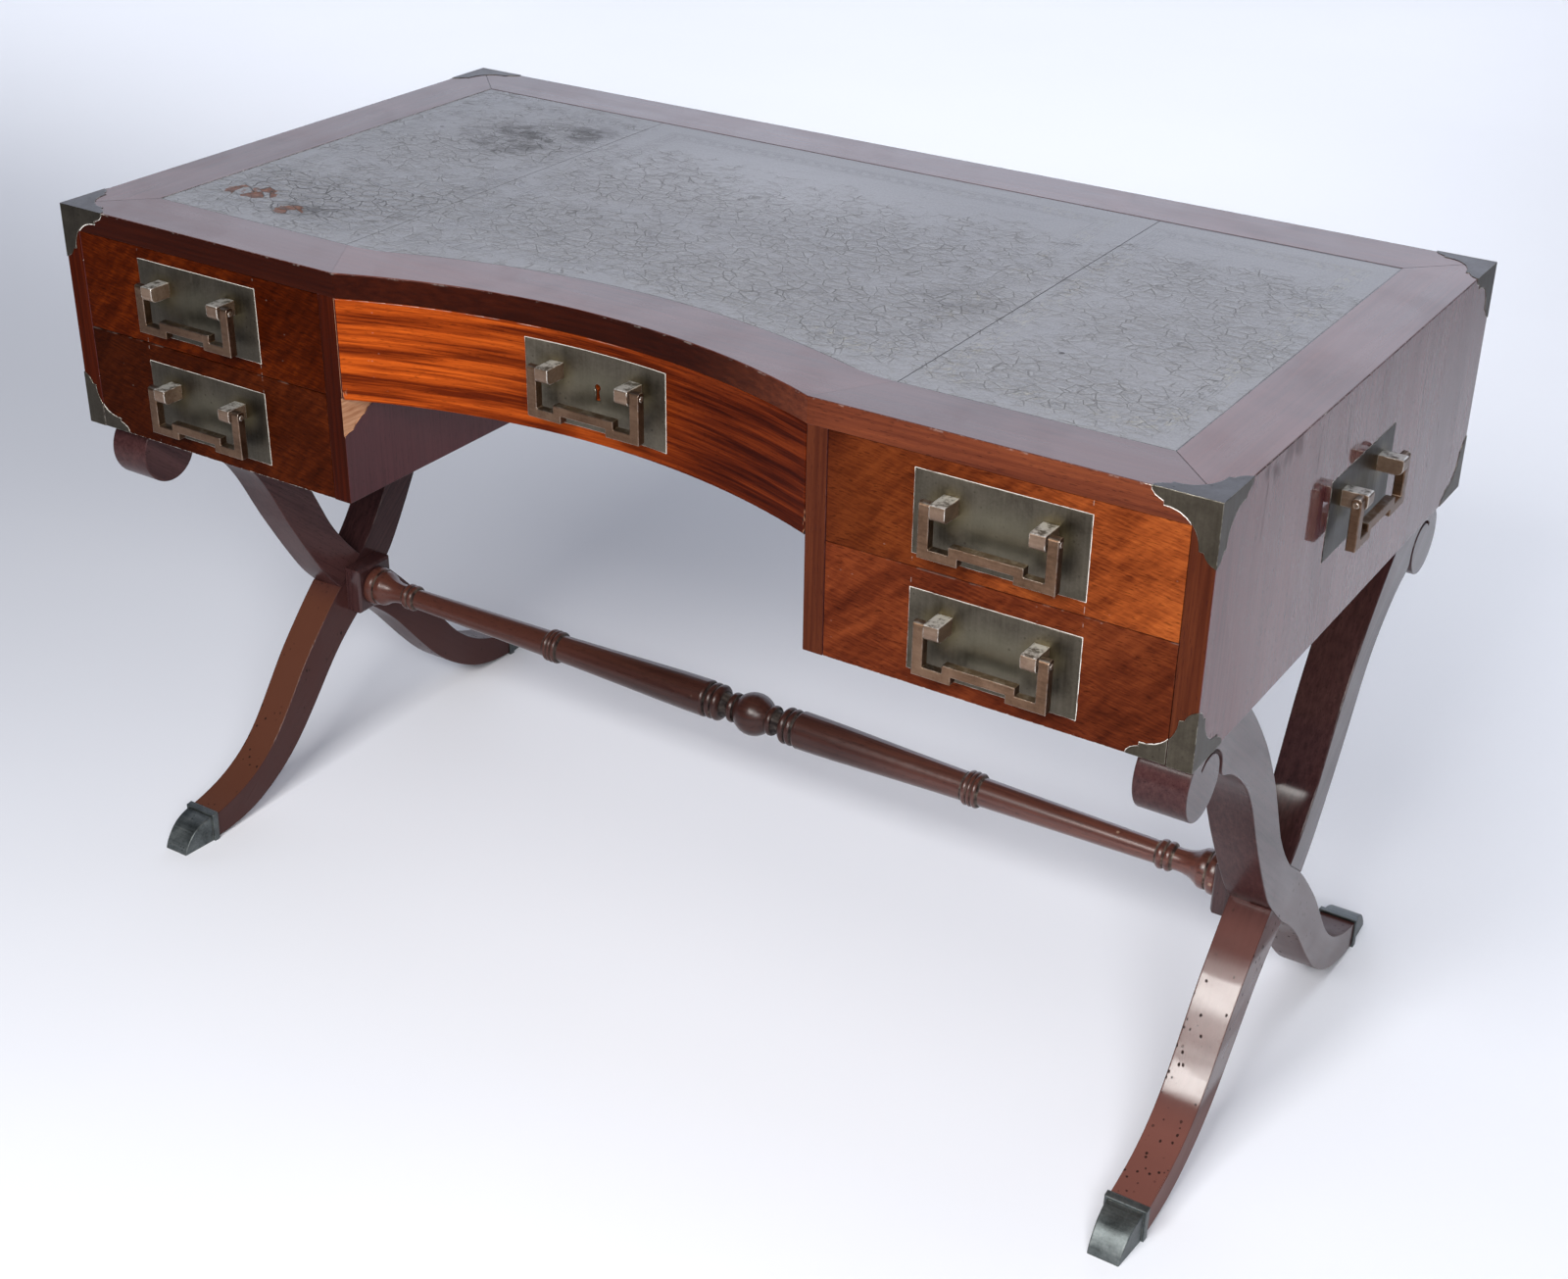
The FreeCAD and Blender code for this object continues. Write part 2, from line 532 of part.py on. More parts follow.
plate_l = place(flat_plate(), -HW - PROUD, 0, CARRY_Z, -90)
studs_r = [place(s, HW + PROUD, 0, CARRY_Z, 90) for s in carry_studs]
studs_l = [place(s, -HW - PROUD, 0, CARRY_Z, -90) for s in carry_studs]

end_r = cut(end_r, all_brackets, plate_r, studs_r, [place(s, HW + PROUD, 0, CARRY_Z, 90) for s in wells])
end_l = cut(end_l, all_brackets, plate_l, studs_l, [place(s, -HW - PROUD, 0, CARRY_Z, -90) for s in wells])
border_front = cut(border_front, end_r, end_l, all_brackets, MORTISE)
border_back = cut(border_back, end_r, end_l, all_brackets)
border_r = cut(border_right, end_r, all_brackets)
border_front = max(border_front.Solids, key=lambda s: s.Volume)
border_back = max(border_back.Solids, key=lambda s: s.Volume)
border_r = max(border_r.Solids, key=lambda s: s.Volume)
back = cut(back, all_brackets)
bottom_r = cut(bottom_r, screws)

# rounded arrises of the case
border_front = rounded(border_front, 1.0, lambda e: level(e, "z", CASE_TOP) and e.Length > 30 and e.BoundBox.YMax < -HD + CURVE_DEPTH + 1)
border_back = rounded(border_back, 1.0, lambda e: level(e, "z", CASE_TOP) and level(e, "y", HD))
nose = box(HW - 1.0, HW + 1, -HD + 62, HD - 62, CASE_TOP - 1.0, CASE_TOP + 1)
nose = nose.cut(cyl((HW - 1.0, -HD, CASE_TOP - 1.0), (0, 1, 0), 1.0, 2 * HD))
border_r = border_r.cut(nose)


def end_arris(e):
    b = e.BoundBox
    at_side = abs(abs(b.XMin) - HW) < 0.02 and abs(abs(b.XMax) - HW) < 0.02
    return at_side and e.Length > 60 and (level(e, "y", -HD) or level(e, "y", HD) or (b.ZMax < 600 and b.ZMax - b.ZMin < 0.02))


end_r = rounded(end_r.cut(nose), 0.8, end_arris)
end_l = rounded(end_l.cut(mirror_x(nose)), 0.8, end_arris)


def knee_arris(e):
    return straight(e) and e.Length > 40 and level(e, "x", KNEE_HALF) and (level(e, "y", -HD) or e.BoundBox.ZMax < 560)


inner_r = rounded(inner_r, 0.8, knee_arris)

put("left_end_panel", end_l)
put("right_end_panel", end_r)
# a flake of veneer is missing at the front of the left kneehole side
flake = prism_x([(-330, 600.5), (-322, 603.5), (-315, 604.5), (-311, 609), (-303, 614.5), (-298, 616), (-293, 621), (-284, 624.5),
                 (-283, 628), (-297, 629), (-297, 640.5), (-330, 640.5)], -KNEE_HALF - 1.1, -KNEE_HALF + 1)
put("kneehole_side_panels", inner_r, mirror_x(inner_r).cut(flake))
put("back_panel", back)
put("pedestal_boards", bottom_r, mirror_x(bottom_r), dust_r, mirror_x(dust_r))
put("centre_drawer_runners", runner_r, mirror_x(runner_r))
put("top_core", top_core)
put("top_border_front", border_front)
put("top_border_back", border_back)
put("top_border_ends", border_r, mirror_x(border_r))
put("writing_leather", leather_c, leather_r, mirror_x(leather_r))

plates = [rounded(a.cut(b[0]).cut(b[1]), 0.3, lambda e: straight(e) and e.Length > 70 and (level(e, "x", HW + PROUD) or level(e, "x", -HW - PROUD)))
          for a, b in ((plate_r, studs_r), (plate_l, studs_l))]
put("carry_handle_plates", plates)
put("carry_handle_posts", right_set, left_set)
put("right_carry_bail", place(carry_bail, HW + PROUD, 0, CARRY_Z, 90))
put("left_carry_bail", place(carry_bail, -HW - PROUD, 0, CARRY_Z, -90))


# ---- pedestal drawers --------------------------------------------------------
def tails(x0, x1, y_base, y_tip, z0, z1, n=3):
    """Dovetail tails on the end of a drawer side."""
    p = (z1 - z0) / n
    out = []
    for k in range(n):
        c = z0 + p * (k + 0.5)
        a, b = 0.25 * p, 0.34 * p
        out.append(prism_x([(y_base, c - a), (y_tip, c - b), (y_tip, c + b), (y_base, c + a)], x0, x1))
    return out


SIDE_CLEAR = 1.5
DR_BACK = 290.0


def pedestal_drawer(prefix, sx, z_front, z_side, hz, corner):
    """One pedestal drawer; made on the right and mirrored when sx is -1."""
    yf, yb = -HD, -HD + FRONT_T
    front = box(px0 + GAP, px1 - GAP, yf, yb, *z_front)
    xa, xb = px0 + SIDE_CLEAR, px1 - SIDE_CLEAR
    sides = []
    for x0 in (xa, xb - SIDE_T):
        s = box(x0, x0 + SIDE_T, yb, DR_BACK, *z_side)
        s = fuse(s, *tails(x0, x0 + SIDE_T, yb + 1, yb - 13.5, *z_side))
        # the tongue stays inside the side's own profile where it starts
        sides.append(s)
    rear = box(xa + SIDE_T, xb - SIDE_T, DR_BACK - SIDE_T, DR_BACK, z_side[0] + 12, z_side[1] - 4)
    floor = box(xa + SIDE_T, xb - SIDE_T, yb, DR_BACK, z_side[0] + 6, z_side[0] + 6 + DBOT_T)
    full, bail, _, studs = handle(FRONT_T)
    full = [place(s, HANDLE_X, -HD - PROUD, hz) for s in full]
    bail = place(bail, HANDLE_X, -HD - PROUD, hz)
    studs = [place(s, HANDLE_X, -HD - PROUD, hz) for s in studs]
    plate = place(flat_plate(), HANDLE_X, -HD - PROUD, hz)
    front = cut(front, sides, plate, studs)
    if corner is not None:
        front = cut(front, corner)
    plate = cut(plate, studs)
    plate = rounded(plate, 0.3, lambda e: straight(e) and e.Length > 70 and level(e, "y", -HD - PROUD))
    if corner is None:
        front = rounded(front, 0.6, lambda e: straight(e) and e.Length > 40 and level(e, "y", -HD) and not 300 < e.BoundBox.Center.x < 560
                        or level(e, "y", -HD) and (level(e, "z", z_front[0]) or level(e, "z", z_front[1])))
    else:
        front = rounded(front, 0.6, lambda e: level(e, "y", -HD) and (level(e, "z", z_front[1]) or level(e, "x", px0 + GAP)))
    flip = (lambda s: mirror_x(s)) if sx < 0 else (lambda s: s)
    put(prefix + "_drawer_front", flip(front))
    put(prefix + "_drawer_box", [flip(s) for s in sides + [rear]])
    put(prefix + "_drawer_bottom", flip(floor))
    put(prefix + "_handle_plate", flip(plate))
    put(prefix + "_handle_posts", [flip(s) for s in full])
    put(prefix + "_bail", flip(bail))
    if corner is not None:
        put(prefix + "_corner_plate", flip(corner))


Z_UP = (RAIL_Z + 0.5, BAND_Z - 0.6)
Z_LOW = (CASE_BOTTOM + 0.4, RAIL_Z - 0.5)
S_UP = (RAIL_Z + 5.0, BAND_Z - 8.0)
S_LOW = (CASE_BOTTOM + BOARD_T + 0.5, RAIL_Z - 10.0)
for side, sx in (("left", -1), ("right", 1)):
    pedestal_drawer("upper_" + side, sx, Z_UP, S_UP, HANDLE_Z[1], None)
    pedestal_drawer("lower_" + side, sx, Z_LOW, S_LOW, HANDLE_Z[0], corner_plate_r)

# ---- centre drawer --------------------------------------------------------------
cz0, cz1 = RAIL_Z - 0.4, BAND_Z - 0.6
kh = KNEE_HALF - GAP


def curved_slab(r0, r1, half_x, z0, z1):
    e = [arc_edge(r0, -half_x, half_x, z0),
         Part.LineSegment(V(half_x, arc_y(half_x, r0), z0), V(half_x, arc_y(half_x, r1), z0)).toShape(),
         arc_edge(r1, half_x, -half_x, z0),
         Part.LineSegment(V(-half_x, arc_y(half_x, r1), z0), V(-half_x, arc_y(half_x, r0), z0)).toShape()]
    return Part.Face(Part.Wire(e)).extrude(V(0, 0, z1 - z0))


c_front = curved_slab(R_FRONT, R_FRONT + FRONT_T, kh, cz0, cz1)
c_plate = curved_slab(R_FRONT - PROUD, R_FRONT - PROUD + PLATE_T, HANDLE_W, HANDLE_Z[1] - HANDLE_H / 2, HANDLE_Z[1] + HANDLE_H / 2)
c_plate = c_plate.common(box(CENTRE_X - HANDLE_W / 2, CENTRE_X + HANDLE_W / 2, -BIG, BIG, 0, BIG))
full, bail, _, studs = handle(FRONT_T, 2.0)
at_y = arc_y(POST_IN + POST_W / 2, R_FRONT) - PROUD
full = [place(s, CENTRE_X, at_y, HANDLE_Z[1]) for s in full]
studs = [place(s, CENTRE_X, at_y, HANDLE_Z[1]) for s in studs]
c_bail = place(bail, CENTRE_X, at_y, HANDLE_Z[1])
hz = HANDLE_Z[1]
kx, ky = CENTRE_X, arc_y(0, R_FRONT + FRONT_T)
keyhole = fuse(cyl((kx, -400, hz + 5), (0, 1, 0), 3.4, 200),
               prism_y([(kx - 1.7, hz + 4), (kx + 1.7, hz + 4), (kx + 2.6, hz - 8), (kx - 2.6, hz - 8)], -400, -200))
# lock behind the front, with a bolt that rises into the top
lock = box(kx - 32, kx + 32, ky - 4, ky + 14, 676, 733)
slot = box(kx - 10.4, kx + 10.4, ky + 0.6, ky + 9.4, 714.6, 740)
bolt = box(kx - 10, kx + 10, ky + 1, ky + 9, 715, 735.5)
talon = box(kx - 3, kx + 3, ky + 1, ky + 9, 705, 715)
talon_slot = box(kx - 3.4, kx + 3.4, ky + 0.6, ky + 9.4, 704, 715)
# rails lie a little behind the curved front at its ends
c_sides = []
for x0 in (-KNEE_HALF + 3, KNEE_HALF - 3 - SIDE_T):
    s = box(x0, x0 + SIDE_T, -309, 200, *S_UP).cut(c_front)
    s = max(s.Solids, key=lambda k: k.Volume)
    s = fuse(s, *tails(x0, x0 + SIDE_T, -297, -314, *S_UP))
    c_sides.append(s)
c_front = cut(c_front, c_sides)
ci = KNEE_HALF - 3 - SIDE_T
c_rear = box(-ci, ci, 200 - SIDE_T, 200, S_UP[0] + 12, S_UP[1] - 4)
c_floor = box(-ci, ci, -320, 200, S_UP[0] + 6, S_UP[0] + 6 + DBOT_T).cut(c_front)
c_floor = max(c_floor.Solids, key=lambda k: k.BoundBox.YMax)
whole_front = curved_slab(R_FRONT, R_FRONT + FRONT_T, kh, cz0, cz1)
c_posts = []
for s in full:
    if s.BoundBox.YMin < at_y - 5 and s.BoundBox.YMax > at_y + 5:
        # post: shaped to the hollow of the plate, its stud runs on through
        stud = next(t for t in studs if t.BoundBox.intersect(s.BoundBox))
        body = s.cut(curved_slab(R_FRONT - PROUD, R_FRONT + 60, kh, cz0, cz1))
        body = max(body.Solids, key=lambda k: k.Volume)
        c_posts.append(fuse(body, stud))
    else:
        c_posts.append(s)
nuts = [s for s in c_posts if s.BoundBox.YMin > at_y + 5]
c_posts = [s for s in c_posts if s.BoundBox.YMin <= at_y + 5]
for s in nuts:
    # square washer-nut bedded against the curved back of the front
    bb = s.BoundBox
    n = box(bb.XMin, bb.XMax, bb.YMin - 4, bb.YMin + 5.2, bb.ZMin, bb.ZMax)
    n = cut(n, whole_front, studs)
    c_posts.append(max(n.Solids, key=lambda k: k.Volume))
lock = cut(lock, whole_front)
lock = max(lock.Solids, key=lambda k: k.Volume)
lock_nut_room = [box(s.BoundBox.XMin - 1, s.BoundBox.XMax + 1, s.BoundBox.YMin, s.BoundBox.YMax + 1, s.BoundBox.ZMin - 1, s.BoundBox.ZMax + 1) for s in nuts]
lock = cut(lock, lock_nut_room, studs, slot, talon_slot, keyhole)
lock = max(lock.Solids, key=lambda k: k.Volume)
c_front = cut(c_front, c_plate, studs, keyhole)
c_plate = cut(c_plate, studs, keyhole)

c_front = rounded(c_front, 0.6, lambda e: e.Length > 529.5 or straight(e) and e.Length > 99 and e.BoundBox.YMin < -HD + 2)
put("centre_drawer_front", c_front)
put("centre_drawer_box", c_sides, c_rear)
put("centre_drawer_bottom", c_floor)
put("centre_handle_plate", c_plate)
put("centre_handle_posts", c_posts)
put("centre_bail", c_bail)
put("lock_case", lock)
put("lock_bolt", fuse(bolt, talon))

# ---- write ---------------------------------------------------------------------
for name, shapes in nodes.items():
    comp = Part.makeCompound(shapes) if len(shapes) > 1 else shapes[0].copy()
    comp.translate(V(0, Y_SHIFT, 0))
    comp.exportStep("parts/%s.step" % name)

lo = [min(s.BoundBox.__getattribute__(k) for v in nodes.values() for s in v) for k in ("XMin", "YMin", "ZMin")]
hi = [max(s.BoundBox.__getattribute__(k) for v in nodes.values() for s in v) for k in ("XMax", "YMax", "ZMax")]
print(len(nodes), "nodes,", sum(len(v) for v in nodes.values()), "solids; box",
      [round(a, 2) for a in lo], [round(a, 2) for a in hi], "shift", Y_SHIFT)
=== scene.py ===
import bpy
import math
from mathutils import Matrix, Vector

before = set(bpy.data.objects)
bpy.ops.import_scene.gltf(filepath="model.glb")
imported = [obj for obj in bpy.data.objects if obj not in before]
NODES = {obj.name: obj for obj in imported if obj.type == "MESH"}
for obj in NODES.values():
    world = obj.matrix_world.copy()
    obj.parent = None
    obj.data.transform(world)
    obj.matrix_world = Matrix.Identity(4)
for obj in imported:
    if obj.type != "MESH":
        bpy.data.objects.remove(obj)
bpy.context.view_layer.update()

scene = bpy.context.scene

# Sizes of the desk in metres, in the shared frame. The case is centred 12 mm
# behind the origin because the handles stand out in front.
YC = 0.012
HW, HD = 0.6195, 0.3275
TOP_Z, BOT_Z, BAND_Z = 0.7645, 0.531, 0.7405
BORDER = 0.068
KNEE = 0.2585
CURVE = 0.053
R_FRONT = (KNEE ** 2 + CURVE ** 2) / (2 * CURVE)
ARC_Y = YC - HD + CURVE - R_FRONT
SEAM = 0.303
PLATE_HW, PLATE_HH = 0.078, 0.0375
HANDLE_X, CENTRE_X = 0.4392, 0.005
HANDLE_Z = {"lower": 0.5835, "upper": 0.6902}


# ---------------------------------------------------------------------------
# node helper
# ---------------------------------------------------------------------------
class Mat:
    """Builds one node material; every method returns an output socket."""

    def __init__(self, name):
        self.mat = bpy.data.materials.new(name)
        self.mat.use_nodes = True
        self.t = self.mat.node_tree
        self.t.nodes.clear()
        self.out = self.t.nodes.new("ShaderNodeOutputMaterial")
        self.b = self.t.nodes.new("ShaderNodeBsdfPrincipled")
        self.t.links.new(self.b.outputs[0], self.out.inputs[0])
        self._p = None

    def put(self, sock, v):
        if isinstance(v, bpy.types.NodeSocket):
            self.t.links.new(v, sock)
        elif isinstance(v, (tuple, list)):
            n = len(sock.default_value)
            v = list(v)
            sock.default_value = (v + [1.0])[:n] if len(v) < n else v[:n]
        else:
            try:
                sock.default_value = v
            except TypeError:
                sock.default_value = [v] * len(sock.default_value)

    def node(self, kind, **props):
        n = self.t.nodes.new(kind)
        for k, v in props.items():
            setattr(n, k, v)
        return n

    def set(self, **kw):
        """Shader sockets by name, spaces written as underscores."""
        for k, v in kw.items():
            self.put(self.b.inputs[k.replace("_", " ")], v)

    @property
    def p(self):
        if self._p is None:
            self._p = self.node("ShaderNodeTexCoord").outputs["Object"]
        return self._p

    def facing(self, i, sign=0):
        """1 on faces that look along axis i (sign 0: either way)."""
        n = self.node("ShaderNodeTexCoord").outputs["Normal"]
        c = self.xyz(n)[i]
        c = self.absv(c) if sign == 0 else self.mul(c, sign)
        return self.ss(c, 0.60, 0.80)

    def xyz(self, v=None):
        n = self.node("ShaderNodeSeparateXYZ")
        self.put(n.inputs[0], self.p if v is None else v)
        return n.outputs[0], n.outputs[1], n.outputs[2]

    def vec(self, x, y, z):
        n = self.node("ShaderNodeCombineXYZ")
        for s, v in zip(n.inputs, (x, y, z)):
            self.put(s, v)
        return n.outputs[0]

    def m(self, op, a, b=0.0, c=0.0, clamp=False):
        n = self.node("ShaderNodeMath", operation=op, use_clamp=clamp)
        self.put(n.inputs[0], a)
        self.put(n.inputs[1], b)
        self.put(n.inputs[2], c)
        return n.outputs[0]

    def add(self, a, b):
        return self.m("ADD", a, b)

    def sub(self, a, b):
        return self.m("SUBTRACT", a, b)

    def mul(self, a, b):
        return self.m("MULTIPLY", a, b)

    def mx(self, a, b):
        return self.m("MAXIMUM", a, b)

    def mn(self, a, b):
        return self.m("MINIMUM", a, b)

    def absv(self, a):
        return self.m("ABSOLUTE", a)

    def inv(self, a):
        return self.m("SUBTRACT", 1.0, a)

    def ss(self, v, a, b, lo=0.0, hi=1.0):
        """Smooth step of v from a to b."""
        n = self.node("ShaderNodeMapRange", interpolation_type="SMOOTHSTEP")
        for s, x in zip(n.inputs[:5], (v, a, b, lo, hi)):
            self.put(s, x)
        return n.outputs[0]

    def lin(self, v, a, b, lo=0.0, hi=1.0):
        n = self.node("ShaderNodeMapRange", interpolation_type="LINEAR")
        for s, x in zip(n.inputs[:5], (v, a, b, lo, hi)):
            self.put(s, x)
        return n.outputs[0]

    def scaled(self, sx, sy, sz, v=None, off=(0, 0, 0)):
        n = self.node("ShaderNodeMapping")
        self.put(n.inputs[0], self.p if v is None else v)
        n.inputs["Location"].default_value = off
        n.inputs["Scale"].default_value = (sx, sy, sz)
        return n.outputs[0]

    def noise(self, v, scale=1.0, detail=2.0, rough=0.5, dist=0.0, color=False):
        n = self.node("ShaderNodeTexNoise", noise_dimensions="3D")
        self.put(n.inputs["Vector"], v)
        for k, x in (("Scale", scale), ("Detail", detail), ("Roughness", rough), ("Distortion", dist)):
            self.put(n.inputs[k], x)
        return n.outputs["Color"] if color else n.outputs["Fac"]

    def voro(self, v, scale=1.0, feature="F1", rand=1.0, out="Distance"):
        n = self.node("ShaderNodeTexVoronoi", feature=feature)
        self.put(n.inputs["Vector"], v)
        self.put(n.inputs["Scale"], scale)
        self.put(n.inputs["Randomness"], rand)
        return n.outputs[out]

    def warp(self, v, by, amount):
        """v moved by a noise colour, amount in the units of v."""
        a = self.node("ShaderNodeVectorMath", operation="SUBTRACT")
        self.put(a.inputs[0], by)
        a.inputs[1].default_value = (0.5, 0.5, 0.5)
        b = self.node("ShaderNodeVectorMath", operation="MULTIPLY_ADD")
        self.t.links.new(a.outputs[0], b.inputs[0])
        amt = amount if isinstance(amount, (tuple, list)) else (amount,) * 3
        b.inputs[1].default_value = amt
        self.put(b.inputs[2], v)
        return b.outputs[0]

    def ramp(self, f, stops, interp="LINEAR"):
        n = self.node("ShaderNodeValToRGB")
        r = n.color_ramp
        r.interpolation = interp
        while len(r.elements) < len(stops):
            r.elements.new(0.5)
        for e, (pos, col) in zip(r.elements, stops):
            e.position = pos
            e.color = (col, col, col, 1) if isinstance(col, (int, float)) else (*col, 1)
        self.put(n.inputs[0], f)
        return n.outputs[0]

    def mix(self, f, a, b, mode="MIX"):
        n = self.node("ShaderNodeMix", data_type="RGBA", blend_type=mode)
        self.put(n.inputs[0], f)
        self.put(n.inputs[6], a)
        self.put(n.inputs[7], b)
        return n.outputs[2]

    def bump(self, h, strength=0.3, dist=0.001, normal=None):
        n = self.node("ShaderNodeBump")
        self.put(n.inputs["Height"], h)
        self.put(n.inputs["Strength"], strength)
        self.put(n.inputs["Distance"], dist)
        if normal is not None:
            self.put(n.inputs["Normal"], normal)
        return n.outputs[0]

    def edge(self, radius=0.0012, samples=4):
        """1 on the arrises of the piece, 0 on its flats."""
        b = self.node("ShaderNodeBevel", samples=samples)
        self.put(b.inputs["Radius"], radius)
        g = self.node("ShaderNodeNewGeometry")
        d = self.node("ShaderNodeVectorMath", operation="DOT_PRODUCT")
        self.t.links.new(b.outputs[0], d.inputs[0])
        self.t.links.new(g.outputs["Normal"], d.inputs[1])
        return self.lin(d.outputs["Value"], 0.995, 0.80), b.outputs[0]

    def curve(self, v, pts, lo=0.0, hi=1.0):
        """Float curve through pts, which lie in the unit square."""
        n = self.node("ShaderNodeFloatCurve")
        c = n.mapping.curves[0]
        while len(c.points) < len(pts):
            c.points.new(0.5, 0.5)
        for q, (x, y) in zip(c.points, pts):
            q.location = (x, y)
            q.handle_type = "VECTOR"
        n.mapping.update()
        self.put(n.inputs["Value"], v)
        return n.outputs[0]

    def rect(self, a, b, ca, cb, ha, hb):
        """Signed distance to a rectangle centred at (ca, cb)."""
        qa = self.sub(self.absv(self.sub(a, ca)), ha)
        qb = self.sub(self.absv(self.sub(b, cb)), hb)
        out_a, out_b = self.mx(qa, 0.0), self.mx(qb, 0.0)
        far = self.m("SQRT", self.add(self.mul(out_a, out_a), self.mul(out_b, out_b)))
        return self.add(far, self.mn(self.mx(qa, qb), 0.0))

    def segment(self, a, b, p0, p1):
        """Distance to a straight segment in the plane of a and b."""
        dx, dy = p1[0] - p0[0], p1[1] - p0[1]
        l2 = max(dx * dx + dy * dy, 1e-12)
        ra, rb = self.sub(a, p0[0]), self.sub(b, p0[1])
        t = self.m("ADD", self.mul(ra, dx / l2), self.mul(rb, dy / l2), clamp=True)
        ea, eb = self.sub(ra, self.mul(t, dx)), self.sub(rb, self.mul(t, dy))
        return self.m("SQRT", self.add(self.mul(ea, ea), self.mul(eb, eb)))

    def blob(self, a, b, ca, cb, ra, rb):
        """1 in the middle of an ellipse, 0 at its rim and beyond."""
        qa = self.mul(self.sub(a, ca), 1.0 / ra)
        qb = self.mul(self.sub(b, cb), 1.0 / rb)
        d = self.m("SQRT", self.add(self.mul(qa, qa), self.mul(qb, qb)))
        return self.ss(d, 1.0, 0.25)


def assign(mat, *names):
    for n in names:
        me = NODES[n].data
        me.materials.clear()
        me.materials.append(mat.mat if isinstance(mat, Mat) else mat)


# ---------------------------------------------------------------------------
# wood
# ---------------------------------------------------------------------------
BRACKET = [(0.0, 0.055), (3.8, 0.0536), (7.6, 0.0510), (10.2, 0.0474), (11.6, 0.0444), (15.6, 0.0440), (16.4, 0.0376), (18.0, 0.0322), (20.4, 0.0274),
           (24.0, 0.0226), (28.3, 0.0187), (33.5, 0.0158), (40.0, 0.0140), (46.6, 0.0136), (47.0, 0.0102), (50.4, 0.0088), (54.3, 0.0066), (57.2, 0.0032), (58, 0.0)]


def bracket_gap(k, u, v):
    """About how far a point lies outside a corner bracket; u and v are
    distances from the corner along its two edges."""
    c = k.curve(k.mul(u, 1 / 0.060), [(a / 60.0, b / 0.060) for a, b in BRACKET] + [(1.0, 0.0)])
    return k.mul(k.sub(v, k.mul(c, 0.060)), 0.62)


def grain_space(k, axis):
    """Vector whose first part runs along the grain."""
    x, y, z = k.xyz()
    if axis == "front":      # veneer of a front, unrolled
        return k.vec(x, 0.0, z)
    if axis == "X":
        return k.vec(x, y, z)
    if axis == "Y":
        return k.vec(y, x, z)
    if axis == "Z":
        return k.vec(z, x, y)
    s, c = axis          # direction in the Y-Z plane
    g = k.add(k.mul(y, s), k.mul(z, c))
    a = k.sub(k.mul(z, s), k.mul(y, c))
    return k.vec(g, a, x)


